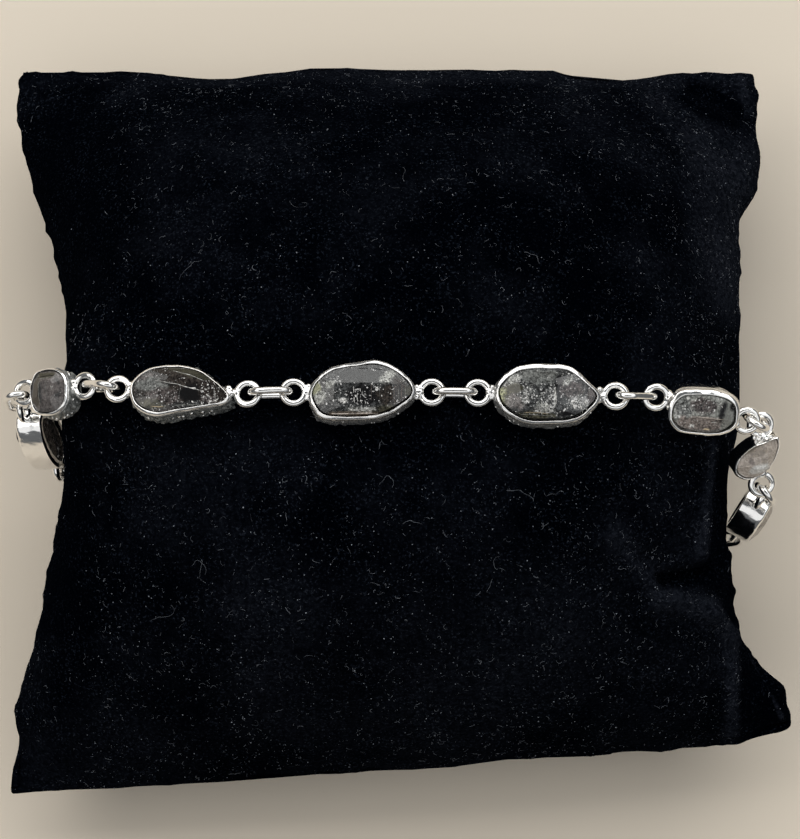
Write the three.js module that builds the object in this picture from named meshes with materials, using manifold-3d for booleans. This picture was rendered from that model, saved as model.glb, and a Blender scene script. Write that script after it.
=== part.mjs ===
// A silver bracelet of bezel-set rock crystals, fastened round a small stuffed velvet display cushion.
// The cushion lies on its underside. The bracelet runs once round it, from left to right over the top,
// down the right side, back along the underside and up the left side.
//
// Frame, in millimetres: +X to the right along the bracelet's top run, +Y to the cushion's far edge,
// +Z up. The origin is the middle of the cushion's underside, on the surface that it lies on.
import * as THREE from 'three';
import { mergeVertices } from 'three/addons/utils/BufferGeometryUtils.js';
import Module from 'manifold-3d';

const wasm = await Module();
wasm.setup();

// ---------------------------------------------------------------- driving dimensions
const clearance = 0.1; // between a piece and the next one that touches it
const cushionGap = 0.35; // between the cushion and the bracelet lying on it

const wallHeight = 2.7; // bezel cup, from its foot to its rim
const wallThickness = 0.45;
const ledgeThickness = 0.4; // the open back leaves a ledge that the crystal sits on
const ledgeWidth = 0.55;
const rimLip = 0.12; // how far the rim is rubbed over the stone
const cupFlare = 0.15; // how far the foot of the wall stands out past its rim

const eyeRadius = 1.075; // soldered eye, to the middle of its wire
const eyeWire = 0.35; // wire radius
const linkLength = 3.92; // oval jump ring, between the middles of its two end wires
const linkHalfWidth = 1.05;
const linkWire = 0.36;
const hookDepth = eyeWire + linkWire + clearance; // from an eye's wire to the jump ring's wire hooked on it
const linkReach = linkLength - 2 * hookDepth; // between the wires of the two eyes that a jump ring joins

const silver = new THREE.MeshStandardMaterial({ color: 0xe6e4df, metalness: 1, roughness: 0.16 });
const crystal = new THREE.MeshStandardMaterial({ color: 0xb9b8b2, metalness: 0, roughness: 0.08 });
const velvet = new THREE.MeshStandardMaterial({ color: 0x07080c, metalness: 0, roughness: 0.95 });

// Bezel outlines, seen from the front, as fractions of half the length and half the width.
const outlines = {
  pear: [[-1, 0], [-0.9, 0.47], [-0.64, 0.84], [-0.13, 1], [0.32, 0.86], [0.82, 0.23], [1, -0.17],
    [0.88, -0.45], [0.45, -0.64], [-0.03, -0.84], [-0.46, -1], [-0.82, -0.72]],
  hexagon: [[-1, -0.05], [-0.88, 0.35], [-0.57, 0.77], [-0.05, 0.96], [0.3, 1], [0.68, 0.7], [1, -0.02],
    [0.78, -0.5], [0.35, -0.9], [-0.3, -1], [-0.76, -0.92], [-0.95, -0.5]],
  navette: [[-1, 0], [-0.93, 0.35], [-0.58, 0.87], [0, 1], [0.4, 0.93], [0.76, 0.46], [1, -0.03],
    [0.88, -0.42], [0.55, -0.88], [0, -1], [-0.5, -0.95], [-0.88, -0.5]],
  tablet: [[-1, 0], [-0.95, 0.45], [-0.7, 0.9], [-0.2, 1], [0.5, 0.92], [0.9, 0.6], [1, 0.05],
    [0.93, -0.55], [0.6, -0.9], [0, -1], [-0.65, -0.88], [-0.95, -0.45]],
  lozenge: [[-0.52, -0.32], [-0.79, 0.3], [-1, 0.88], [-0.75, 1], [-0.07, 0.86], [0.46, 0.57], [0.89, 0.08],
    [1, -0.5], [0.75, -0.95], [0.2, -0.98]],
  oval: [[-1, 0], [-0.87, 0.52], [-0.5, 0.87], [0, 1], [0.5, 0.87], [0.87, 0.52], [1, 0],
    [0.87, -0.52], [0.5, -0.87], [0, -1], [-0.5, -0.87], [-0.87, -0.52]],
};

// The settings in their order round the loop.
//   turn   direction of the long axis: 0 to the right on top, 90 down, 180 to the left underneath
//   drift  how far that direction swings towards the near edge, -Y
//   roll   how far the face leans about the long axis, towards -Y
//   swing, veer   how far the jump ring next to it, on the side away from the top middle, turns and drifts
//                 past the mean of its two neighbours
//   reach  from the end of the bezel to the middle of its eye
//   entry, exit  sideways places of the first and second eye
//   dome, tip    height of the crystal's top over the rim, and how far it lies to one side
const rows = `
  outline  length width turn drift roll swing veer reach entry exit dome tip
  tablet   4.4    4.7   -26  -1    0    -30   6    1.3   0.45  0.4  0.5  0.3
  pear     10.0   5.3   -9   4     -8   0     -3   1.45  0.25  0.3  0.45 0.5
  hexagon  10.4   5.9   0    0     0    0     0    1.45  0     0    0.6  -0.4
  navette  10.3   5.9   2    1     1    28    -6   1.5   0.1   0.1  0.6  0.3
  tablet   7.1    4.6   7    2     24   40.3  -55  1.05  1.0   -0.8 0.45 0.5
  lozenge  4.55   4.4   95.5 62    88   -10   -39  0.82  0.35  1.0  0.5  0
  oval     7.2    5.0   98   12    32   8     0    1.45  0     0    0.5  0.2
  navette  9.4    5.4   172  -4    14   0     0    1.45  0     0    0.45 0.3
  oval     10.0   5.4   180  -6    0    0     0    1.45  0     0    0.45 -0.3
  oval     10.2   5.6   197  -10   0    14    0    1.45  0     0    0.45 0.3
  oval     8.8    4.9   257  -22   0    -25   2    1.45  0     0    0.5  -0.3
`;
const anchorIndex = 2; // this setting's place is given, and the others follow from it along the chain
const anchorPlace = new THREE.Vector3(-3.6, -1.2, 34.5);
const claspIndex = 8; // the clasp comes after this setting

// Cross sections of the free cushion, from the near edge to the far edge.
//   at      place between the near edge, -1, the bracelet, 0, and the far edge, 1
//   left, right   where the side seam runs
//   seam    height of the side seam
//   crown, belly  height of the top and of the underside at the middle; below 0 it lies flat
//   edge    under 1 for full round sides, 2 for a flattened, sharp seam
const sections = `
  at     left   right  seam  crown  belly  edge
  -1.00  -40.2  34.7   9.4   10.6   8.2    1.9
  -0.95  -40.1  40.8   9.4   14.8   5.0    1.7
  -0.88  -40.0  40.7   9.6   19.2   1.6    1.5
  -0.75  -39.4  38.0   10.2  25.0   -2.0   1.25
  -0.60  -38.2  35.4   11.2  29.3   -4.0   1.05
  -0.42  -36.6  34.8   12.4  32.4   -5.0   0.92
  -0.20  -35.3  35.0   13.0  34.1   -5.5   0.85
  0.16   -34.9  35.3   13.0  34.3   -5.5   0.85
  0.36   -34.9  35.5   12.8  33.4   -5.0   0.9
  0.52   -36.4  35.6   12.0  31.2   -4.0   1.0
  0.68   -38.5  36.6   11.2  27.5   -2.4   1.15
  0.82   -40.2  38.5   10.4  21.9   0.4    1.4
  0.94   -40.8  38.4   10.0  15.2   4.6    1.7
  1.00   -40.9  38.2   9.8   11.0   8.6    1.9
`;
const farEdge = 38.4; // Y of the far seam
const nearEdge = -35.9; // Y of the near seam at the middle
const nearEdgeSlope = 0.068; // the near seam runs nearer on the left than on the right
const edgeSpan = 36; // the sections' place 1, in mm from the bracelet
const waistInner = 3.6; // the cushion is pressed in this far to each side of the bracelet
const waistOuter = 9.5; // and is free of it from here on
const waistLeft = -33.9; // it never bulges out past these, so a setting may stand off from its sides
const waistRight = 33.8;
const waistRightLean = 0.14; // the right side draws in by this much per mm of height over the core
const edgeOnRoll = 60; // a setting that leans further than this stands on its edge, clear of the cushion
const cushionCore = 15; // height of the line that the sections are measured round
const cushionSides = 44; // points round a section

// ---------------------------------------------------------------- small helpers
const degrees = THREE.MathUtils.degToRad;

// Reads a table whose first line names its columns.
function table(text) {
  const [names, ...lines] = text.trim().split('\n').map((line) => line.trim().split(/\s+/));
  const value = (word) => (Number.isNaN(Number(word)) ? word : Number(word));
  return lines.map((words) => Object.fromEntries(names.map((name, i) => [name, value(words[i])])));
}

const settings = table(rows);
const cushionSections = table(sections);

function mesh(name, geometry, material, place, rotation) {
  const made = new THREE.Mesh(geometry, material);
  made.name = name;
  if (place) made.position.copy(place);
  if (rotation) made.quaternion.copy(rotation);
  return made;
}

// Skins rings of equal point counts. A closed cycle makes a hoop, and otherwise the ends are capped.
function loft(rings, closed) {
  const count = rings[0].length;
  const positions = rings.flat().flatMap((p) => [p.x, p.y, p.z]);
  const index = [];
  const spans = closed ? rings.length : rings.length - 1;
  for (let r = 0; r < spans; r += 1) {
    const a = r * count;
    const b = ((r + 1) % rings.length) * count;
    for (let i = 0; i < count; i += 1) {
      const j = (i + 1) % count;
      index.push(a + i, a + j, b + j, a + i, b + j, b + i);
    }
  }
  if (!closed) {
    const last = (rings.length - 1) * count;
    const flat = (ring) => ring.map((p) => new THREE.Vector2(p.x, p.y));
    THREE.ShapeUtils.triangulateShape(flat(rings[0]), []).forEach(([i, j, k]) => index.push(i, k, j));
    THREE.ShapeUtils.triangulateShape(flat(rings.at(-1)), [])
      .forEach(([i, j, k]) => index.push(last + i, last + j, last + k));
  }
  const geometry = new THREE.BufferGeometry();
  geometry.setAttribute('position', new THREE.Float32BufferAttribute(positions, 3));
  geometry.setIndex(index);
  return geometry;
}

function toSolid(geometry) {
  const bare = geometry.clone();
  bare.deleteAttribute('normal');
  bare.deleteAttribute('uv');
  const merged = mergeVertices(bare, 1e-4);
  const solid = new wasm.Mesh({
    numProp: 3,
    vertProperties: merged.attributes.position.array,
    triVerts: new Uint32Array(merged.index.array),
  });
  return new wasm.Manifold(solid);
}

function toGeometry(solid) {
  const { vertProperties, triVerts } = solid.getMesh();
  const geometry = new THREE.BufferGeometry();
  geometry.setAttribute('position', new THREE.BufferAttribute(vertProperties, 3));
  geometry.setIndex(new THREE.BufferAttribute(triVerts, 1));
  return geometry;
}

// ---------------------------------------------------------------- where the pieces of the chain lie
function rotationOf({ turn, drift, roll }) {
  const q = new THREE.Quaternion().setFromAxisAngle(new THREE.Vector3(0, 1, 0), degrees(turn));
  q.multiply(new THREE.Quaternion().setFromAxisAngle(new THREE.Vector3(0, 0, 1), degrees(-drift)));
  return q.multiply(new THREE.Quaternion().setFromAxisAngle(new THREE.Vector3(1, 0, 0), degrees(roll)));
}

// The middle of a setting's eye in the setting's own axes: side 1 is the exit eye and -1 the entry eye.
function eyeOf(row, side) {
  return new THREE.Vector3(side * (row.length / 2 + row.reach), side > 0 ? row.exit : row.entry, 0);
}

// The direction in a setting's face plane that lies nearest to the jump ring's direction.
function inFace(rotation, direction) {
  const normal = new THREE.Vector3(0, 0, 1).applyQuaternion(rotation);
  return direction.clone().addScaledVector(normal, -direction.dot(normal)).normalize();
}

function worldEye(place, row, side) {
  return eyeOf(row, side).applyQuaternion(place.rotation).add(place.position);
}

// The direction of an eye's wire where the jump ring hooks it.
function wireAt(rotation, direction) {
  return new THREE.Vector3(0, 0, 1).applyQuaternion(rotation).cross(inFace(rotation, direction));
}

// Hangs the next setting on its neighbour with one jump ring. way is 1 clockwise, -1 the other way.
// A jump ring takes the mean direction of its two settings, and stands across the wires of both eyes.
function hangNext(place, row, nextRow, way) {
  const unwound = nextRow.turn - 360 * Math.round((nextRow.turn - row.turn) / 360);
  const { swing, veer } = way > 0 ? row : nextRow;
  const middle = rotationOf({
    turn: (row.turn + unwound) / 2 + swing,
    drift: (row.drift + nextRow.drift) / 2 + veer,
    roll: 0,
  });
  const direction = new THREE.Vector3(way, 0, 0).applyQuaternion(middle);
  const start = worldEye(place, row, way).addScaledVector(inFace(place.rotation, direction), eyeRadius);
  const end = start.clone().addScaledVector(direction, linkReach);
  const nextRotation = rotationOf(nextRow);
  const nextEye = end.clone().addScaledVector(inFace(nextRotation, direction), eyeRadius);
  const position = nextEye.sub(eyeOf(nextRow, -way).applyQuaternion(nextRotation));
  const wires = wireAt(place.rotation, direction).add(wireAt(nextRotation, direction));
  const face = direction.clone().cross(wires).normalize();
  const basis = new THREE.Matrix4().makeBasis(
    direction.clone().multiplyScalar(way), face.clone().cross(direction).multiplyScalar(way), face);
  const rotation = new THREE.Quaternion().setFromRotationMatrix(basis);
  return {
    link: { position: start.add(end).multiplyScalar(0.5), rotation },
    place: { position, rotation: nextRotation },
  };
}

function layOutChain() {
  const places = [];
  const links = [];
  places[anchorIndex] = { position: anchorPlace, rotation: rotationOf(settings[anchorIndex]) };
  for (let i = anchorIndex; i < claspIndex; i += 1) {
    const next = hangNext(places[i], settings[i], settings[i + 1], 1);
    places[i + 1] = next.place;
    links.push(next.link);
  }
  const count = settings.length;
  for (let step = 0; step < count - 1 - (claspIndex - anchorIndex); step += 1) {
    const i = (anchorIndex - step + count) % count;
    const j = (i - 1 + count) % count;
    const next = hangNext(places[i], settings[i], settings[j], -1);
    places[j] = next.place;
    links.push(next.link);
  }
  // The clasp takes up what is left between the two ends, with a jump ring at each of its own ends.
  const eyes = [worldEye(places[claspIndex], settings[claspIndex], 1)];
  eyes.push(worldEye(places[claspIndex + 1], settings[claspIndex + 1], -1));
  const across = eyes[1].clone().sub(eyes[0]);
  const start = eyes[0].addScaledVector(inFace(places[claspIndex].rotation, across), eyeRadius);
  const end = eyes[1].addScaledVector(inFace(places[claspIndex + 1].rotation, across), -eyeRadius);
  const along = end.clone().sub(start);
  const claspLength = along.length() - 2 * linkReach;
  along.normalize();
  const sideways = new THREE.Vector3(0, 0, -1).cross(along).normalize();
  const frame = new THREE.Matrix4().makeBasis(along, sideways, along.clone().cross(sideways));
  const rotation = new THREE.Quaternion().setFromRotationMatrix(frame);
  const clasp = { position: start.clone().add(end).multiplyScalar(0.5), rotation };
  links.push({ position: start.addScaledVector(along, linkReach / 2), rotation });
  links.push({ position: end.addScaledVector(along, -linkReach / 2), rotation });
  return { places, links, clasp, claspLength };
}

// ---------------------------------------------------------------- bezel cups and crystals
// The outline drawn in by inset all round, at height z, as points running anticlockwise.
function outlineRing(row, inset, z, count) {
  const points = outlines[row.outline].map(([x, y]) => new THREE.Vector3(x, y, 0)).reverse();
  const curve = new THREE.CatmullRomCurve3(points, true, 'centripetal');
  return Array.from({ length: count }, (_, i) => {
    const p = curve.getPoint(i / count);
    return new THREE.Vector3(p.x * (row.length / 2 - inset), p.y * (row.width / 2 - inset), z);
  });
}

// How far the outline reaches towards one end, side, at the sideways place y.
function wallAt(row, side, y) {
  const ring = outlineRing(row, 0, 0, 90).filter((p) => p.x * side > 0);
  return Math.abs(ring.reduce((best, p) => (Math.abs(p.y - y) < Math.abs(best.y - y) ? p : best)).x);
}

const outlineFacets = 19; // facets round a cup
const crystalFacets = 10; // and round a crystal

// One soldered piece: wall with its rubbed-over rim, open-backed ledge, and an eye at each end.
function settingGeometry(row) {
  const half = wallHeight / 2;
  const ring = (inset, z) => outlineRing(row, inset, z, outlineFacets);
  const cup = loft([
    ring(-cupFlare, -half),
    ring(0, half - 0.25),
    ring(rimLip, half),
    ring(wallThickness + rimLip, half - 0.1),
    ring(wallThickness, ledgeThickness - half),
    ring(wallThickness + ledgeWidth, ledgeThickness - half),
    ring(wallThickness + ledgeWidth, -half),
  ], true);
  let solid = toSolid(cup);
  for (const side of [-1, 1]) {
    const at = eyeOf(row, side);
    const eye = new THREE.TorusGeometry(eyeRadius, eyeWire, 6, 12).translate(at.x, at.y, 0);
    const neckStart = wallAt(row, side, at.y) - wallThickness * 0.6;
    const neckEnd = Math.abs(at.x) - eyeRadius;
    const neck = new THREE.BoxGeometry(neckEnd - neckStart, 1.1, 0.7)
      .translate(side * (neckStart + neckEnd) / 2, at.y, 0);
    solid = solid.add(toSolid(eye)).add(toSolid(neck));
  }
  return toGeometry(solid);
}

// A double-ended crystal: straight sides in the cup, then slopes up to a small flat top. It tapers
// towards the rim as the wall does.
function crystalGeometry(row) {
  const half = wallHeight / 2;
  const inset = wallThickness + clearance * 2.7;
  const slope = Math.min(row.length, row.width) / 2 - inset;
  const ring = (extra, z, aside) => outlineRing(row, inset + extra, z, crystalFacets)
    .map((p) => p.add(new THREE.Vector3(0, aside, 0)));
  return loft([
    ring(0.4, ledgeThickness - half + clearance, 0),
    ring(0.05, ledgeThickness - half + 0.7, 0),
    ring(rimLip + 0.05, half - 0.1, 0),
    ring(rimLip + slope * 0.37, half + row.dome * 0.75, row.tip / 2),
    ring(rimLip + slope * 0.58, half + row.dome, row.tip),
  ], false);
}

// ---------------------------------------------------------------- jump rings and clasp
// A round wire bent along a closed flat oval in the XZ plane, longest along X.
function ovalRing(length, halfWidth, wire, steps, sides) {
  const straight = length / 2 - halfWidth;
  const rings = Array.from({ length: steps }, (_, s) => {
    const angle = (s / steps) * 2 * Math.PI;
    const outward = new THREE.Vector3(Math.cos(angle), 0, Math.sin(angle));
    const centre = outward.clone().multiplyScalar(halfWidth);
    centre.x += Math.sign(Math.round(Math.cos(angle) * 1e6)) * straight;
    return Array.from({ length: sides }, (__, k) => {
      const around = ((k + 0.5) / sides) * 2 * Math.PI;
      const point = centre.clone().addScaledVector(outward, Math.cos(around) * wire);
      point.y = Math.sin(around) * wire;
      return point;
    });
  });
  return loft(rings, true);
}

// A plain closed clasp body with an eye at each end, in one piece. length is between the eyes' outer wires.
const claspEye = { radius: eyeRadius, wire: eyeWire };
const claspBody = { halfWidth: 1.7, halfHeight: 1.05 };

function claspGeometry(length) {
  const eyeX = length / 2 - claspEye.radius;
  const bodyEnd = eyeX - claspEye.radius;
  const profile = Array.from({ length: 7 }, (_, i) => {
    const angle = Math.PI * (i / 6 - 0.5);
    return new THREE.Vector2(Math.max(Math.cos(angle), 0) * claspBody.halfWidth, Math.sin(angle) * bodyEnd);
  });
  const body = new THREE.LatheGeometry(profile, 10)
    .rotateZ(-Math.PI / 2)
    .scale(1, 1, claspBody.halfHeight / claspBody.halfWidth);
  let solid = toSolid(body);
  for (const side of [-1, 1]) {
    const eye = new THREE.TorusGeometry(claspEye.radius, claspEye.wire, 6, 12).translate(side * eyeX, 0, 0);
    const neck = new THREE.BoxGeometry(1.2, 0.8, 0.7).translate(side * (bodyEnd - 0.3), 0, 0);
    solid = solid.add(toSolid(eye)).add(toSolid(neck));
  }
  return toGeometry(solid);
}

// ---------------------------------------------------------------- the cushion
// A line on which the bracelet lies, as a smooth loop along the backs of its settings. aside is how far
// to one side of their middles it runs. Gives the point of that loop at an angle round the core.
function waistLine({ places, clasp }, aside) {
  const under = (place, x, depth) => new THREE.Vector3(x, aside, -depth - cushionGap)
    .applyQuaternion(place.rotation).add(place.position);
  const points = [];
  places.forEach((place, i) => {
    const spread = settings[i].length * 0.5;
    if (settings[i].roll < edgeOnRoll) points.push(under(place, -spread, wallHeight / 2), under(place, spread, wallHeight / 2));
  });
  points.push(under(clasp, 0, claspBody.halfHeight));
  const bearing = (p) => Math.atan2(p.z - cushionCore, p.x);
  points.sort((a, b) => bearing(a) - bearing(b));
  const loop = new THREE.CatmullRomCurve3(points, true, 'catmullrom', 0.2);
  const samples = loop.getPoints(600).slice(0, -1);
  samples.sort((a, b) => bearing(a) - bearing(b));
  return (angle) => {
    const found = samples.findIndex((p) => bearing(p) >= angle);
    const after = found < 0 ? 0 : found;
    const next = samples[after];
    const last = samples.at(after - 1);
    const sweep = (from, to) => THREE.MathUtils.euclideanModulo(to - from, 2 * Math.PI);
    const share = sweep(bearing(last), angle) / Math.max(sweep(bearing(last), bearing(next)), 1e-9);
    return last.clone().lerp(next, THREE.MathUtils.clamp(share, 0, 1));
  };
}

function smoothSection(at) {
  const upper = Math.max(1, cushionSections.findIndex((row) => row.at >= at - 1e-9));
  const [a, b] = [cushionSections[upper - 1], cushionSections[upper]];
  const share = (at - a.at) / (b.at - a.at);
  return Object.fromEntries(Object.keys(a).map((key) => [key, THREE.MathUtils.lerp(a[key], b[key], share)]));
}

// The cushion isn't drawn out under the raised side of a leaning setting.
function innerOf(side, middle) {
  const distance = (p) => Math.hypot(p.x, p.z - cushionCore);
  const inner = distance(side) < distance(middle) ? side : middle;
  const right = waistRight - waistRightLean * Math.max(0, inner.z - cushionCore);
  return new THREE.Vector3(THREE.MathUtils.clamp(inner.x, waistLeft, right), side.y, inner.z);
}

function cushionGeometry(chain) {
  const middle = waistLine(chain, 0);
  const waists = { [-1]: waistLine(chain, -waistInner), 0: middle, 1: waistLine(chain, waistInner) };
  const pressed = [0, waistInner, (waistInner + waistOuter) / 2, waistOuter];
  const waistRows = pressed.flatMap((offset) => (offset ? [-offset, offset] : [0]));
  const free = cushionSections.map((row) => row.at * edgeSpan).filter((y) => Math.abs(y) > waistOuter + 1);
  const offsets = [...free, ...waistRows].sort((a, b) => b - a);
  const rings = offsets.map((offset) => {
    const row = smoothSection(offset / edgeSpan);
    const waist = waists[Math.sign(offset)];
    const share = Math.abs(offset) / edgeSpan;
    const press = 1 - THREE.MathUtils.smoothstep(Math.abs(offset), waistInner, waistOuter);
    return Array.from({ length: cushionSides }, (_, k) => {
      const angle = (k / cushionSides) * 2 * Math.PI;
      const across = Math.sign(Math.cos(angle)) * Math.abs(Math.cos(angle)) ** 0.8;
      const rise = Math.sign(Math.sin(angle)) * Math.abs(Math.sin(angle)) ** row.edge;
      const height = rise > 0 ? row.crown - row.seam : row.seam - row.belly;
      const x = (row.left + row.right) / 2 + (across * (row.right - row.left)) / 2;
      const z = Math.max(0, row.seam + rise * height);
      const bearing = Math.atan2(z - cushionCore, x);
      const held = innerOf(waist(bearing), middle(bearing));
      const edge = offset > 0 ? farEdge : nearEdge + nearEdgeSlope * x;
      const beside = held.y + Math.sign(offset) * Math.max(0, Math.abs(offset) - waistInner);
      const y = Math.abs(offset) > waistOuter ? THREE.MathUtils.lerp(middle(bearing).y, edge, share) : beside;
      return new THREE.Vector3(
        THREE.MathUtils.lerp(x, held.x, press),
        y,
        Math.max(0, THREE.MathUtils.lerp(z, held.z, press)),
      );
    });
  });
  // The loft stacks its rings along Z, so it is made lying on its back and then stood up.
  const lying = rings.map((ring) => ring.map((p) => new THREE.Vector3(p.x, p.z, -p.y)));
  return loft(lying, false).rotateX(Math.PI / 2);
}

// ---------------------------------------------------------------- the assembly
const bracelet = new THREE.Group();
const chain = layOutChain();
const link = ovalRing(linkLength, linkHalfWidth, linkWire, 12, 5);

chain.places.forEach((place, i) => {
  bracelet.add(
    mesh(`setting_${i + 1}`, settingGeometry(settings[i]), silver, place.position, place.rotation),
    mesh(`crystal_${i + 1}`, crystalGeometry(settings[i]), crystal, place.position, place.rotation),
  );
});
chain.links.forEach((place, i) => {
  bracelet.add(mesh(`jump_ring_${i + 1}`, link, silver, place.position, place.rotation));
});
bracelet.add(mesh('clasp', claspGeometry(chain.claspLength), silver, chain.clasp.position, chain.clasp.rotation));

const display = new THREE.Group();
display.add(mesh('cushion', cushionGeometry(chain), velvet), bracelet);

export default display;
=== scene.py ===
# %% [markdown]
# # A rock crystal bracelet on its display cushion
#
# A jeweller sets rough, double-ended quartz crystals in cups of sheet silver, solders an eye to each end
# of every cup, and joins the cups with oval jump rings. The finished bracelet is fastened round a small
# stuffed cushion of black velvet, so that a customer sees it as it would lie on a wrist.
#
# This lesson dresses that object. Its plain solids are already made and placed, in one shared frame:
# +X runs along the top of the bracelet, +Y to the far side of the cushion, +Z up, and the origin lies
# under the middle of the cushion. Each cup, crystal, ring, clasp and the cushion made here takes the
# place of a plain solid, and the lines in the crystals and the lint are laid over them.

# %% Load the plain solids
import random
from math import copysign, cos, hypot, pi, radians, sin

import bmesh
import bpy
from mathutils import Matrix, Vector, noise
from mathutils.bvhtree import BVHTree


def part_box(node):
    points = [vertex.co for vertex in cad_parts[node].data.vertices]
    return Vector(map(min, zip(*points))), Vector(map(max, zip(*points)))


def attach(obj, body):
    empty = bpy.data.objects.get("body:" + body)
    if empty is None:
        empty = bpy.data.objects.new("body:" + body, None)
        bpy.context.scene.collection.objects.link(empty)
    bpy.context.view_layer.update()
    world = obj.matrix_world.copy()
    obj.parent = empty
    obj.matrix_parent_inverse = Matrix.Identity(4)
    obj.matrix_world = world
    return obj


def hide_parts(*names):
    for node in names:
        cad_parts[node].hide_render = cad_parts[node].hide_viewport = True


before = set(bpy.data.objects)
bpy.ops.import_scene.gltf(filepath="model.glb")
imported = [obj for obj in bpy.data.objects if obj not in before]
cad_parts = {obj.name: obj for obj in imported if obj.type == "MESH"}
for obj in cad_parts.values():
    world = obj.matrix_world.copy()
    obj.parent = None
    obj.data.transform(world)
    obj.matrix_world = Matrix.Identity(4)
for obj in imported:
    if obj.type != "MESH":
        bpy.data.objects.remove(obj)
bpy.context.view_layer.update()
mm = 0.001

# %% [markdown]
# ## Camera
# The object is looked at from nearly straight above, ten degrees towards the near side. A long lens from
# a forearm's distance keeps the cushion's edges almost parallel. The camera aims at the middle of the
# bracelet's top run, which is just under the highest point of the solids.

# %% Camera
elevation = radians(80)
distance = 260 * mm
aim = Vector((0.0, -3.85 * mm, 34.5 * mm))
camera = bpy.data.objects.new("camera", bpy.data.cameras.new("camera"))
bpy.context.scene.collection.objects.link(camera)
towards_camera = Vector((0.0, -cos(elevation), sin(elevation)))
camera.location = aim + towards_camera * distance
camera.rotation_euler = towards_camera.to_track_quat("Z", "Y").to_euler()
camera.data.lens = 116
camera.data.clip_start = 0.01
bpy.context.scene.camera = camera
print("camera", tuple(round(v, 4) for v in camera.location))

# %% [markdown]
# ## Floor and light
# Polished silver shows nothing but what stands round it, so the light is the first material of a piece
# of jewellery. A single lamp would make hard sparks. Instead four softboxes stand round a dark gap
# straight overhead: rounded metal finds them and shines, while the flat tops of the crystals mirror the
# gap and stay clear and dark. The far softbox is the brightest, as a window is. A pale matt floor lights
# the settings that hang at the sides.

# %% Floor
def new_object(name, mesh):
    """Puts a mesh into the scene."""
    made = bpy.data.objects.new(name, mesh)
    bpy.context.scene.collection.objects.link(made)
    return made


def plain_material(name, color, roughness):
    """A material of one colour, for finishes to build on."""
    material = bpy.data.materials.new(name)
    material.use_nodes = True
    shader = material.node_tree.nodes["Principled BSDF"]
    shader.inputs["Base Color"].default_value = (*color, 1)
    shader.inputs["Roughness"].default_value = roughness
    return material


floor_half = 1.5
floor_mesh = bpy.data.meshes.new("floor")
floor_corners = [(x, y, 0) for x, y in ((-1, -1), (1, -1), (1, 1), (-1, 1))]
floor_mesh.from_pydata([Vector(c) * floor_half for c in floor_corners], [], [(0, 1, 2, 3)])
floor = new_object("floor", floor_mesh)
floor.location.z = -0.05 * mm
floor_mesh.materials.append(plain_material("pale_floor", (0.72, 0.64, 0.53), 0.7))
print("floor of", 2 * floor_half, "m")

# %% Lights
def softbox(name, place, size, watts, color):
    """A glowing panel at a place in metres, turned to face the bracelet."""
    lamp = bpy.data.lights.new(name, "AREA")
    lamp.shape = "RECTANGLE"
    lamp.size, lamp.size_y = size
    lamp.energy = watts
    lamp.color = color
    holder = bpy.data.objects.new(name, lamp)
    bpy.context.scene.collection.objects.link(holder)
    holder.location = place
    holder.rotation_euler = (Vector(place) - aim).to_track_quat("Z", "Y").to_euler()


softbox("far_window", (0.0, 0.55, 0.62), (1.3, 0.7), 6.5, (1.0, 0.99, 0.97))
softbox("left_window", (-0.47, 0.05, 0.62), (0.5, 0.4), 1.2, (1.0, 0.97, 0.93))
softbox("right_window", (0.47, 0.05, 0.62), (0.5, 0.4), 0.7, (0.94, 0.97, 1.0))
softbox("near_window", (0.0, -0.44, 0.62), (1.3, 0.5), 1.6, (1.0, 1.0, 1.0))
world = bpy.data.worlds.new("surround")
world.use_nodes = True
world.node_tree.nodes["Background"].inputs["Color"].default_value = (0.92, 0.96, 1.0, 1)
world.node_tree.nodes["Background"].inputs["Strength"].default_value = 0.12
bpy.context.scene.world = world
bpy.context.scene.view_settings.view_transform = "Standard"
print("four softboxes and a dim surround")

# %% [markdown]
# ## Where each piece of the chain hangs
# A chain has simple rules: a jump ring reaches from the wire of one eye to the wire of the next, and it
# takes up the mean direction of the two cups that it joins. So the whole bracelet is laid out from one
# given cup and a table, and no piece is placed by eye.
#
# Turn is the direction of a cup's long side as one goes round the cushion, drift is its swing to the
# near side, and roll is how far its face leans over. Swing and veer turn the jump ring that follows it.
# Reach, entry and exit say where its eyes sit: how far past its ends, and how far off its middle line.
# The other columns belong to the cup's wall: the width of the rim, how much wider it is on the far side,
# a groove along it, how rough the wall is, and the height of a ridge along its far side.

# %% The table of settings
def read_table(text):
    """The rows of a table as dictionaries. A word that ends in a digit is a number."""
    names, *lines = [line.split() for line in text.strip().splitlines()]
    rows = [[float(word) if word[-1].isdigit() else word for word in words] for words in lines]
    return [dict(zip(names, row)) for row in rows]


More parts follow.
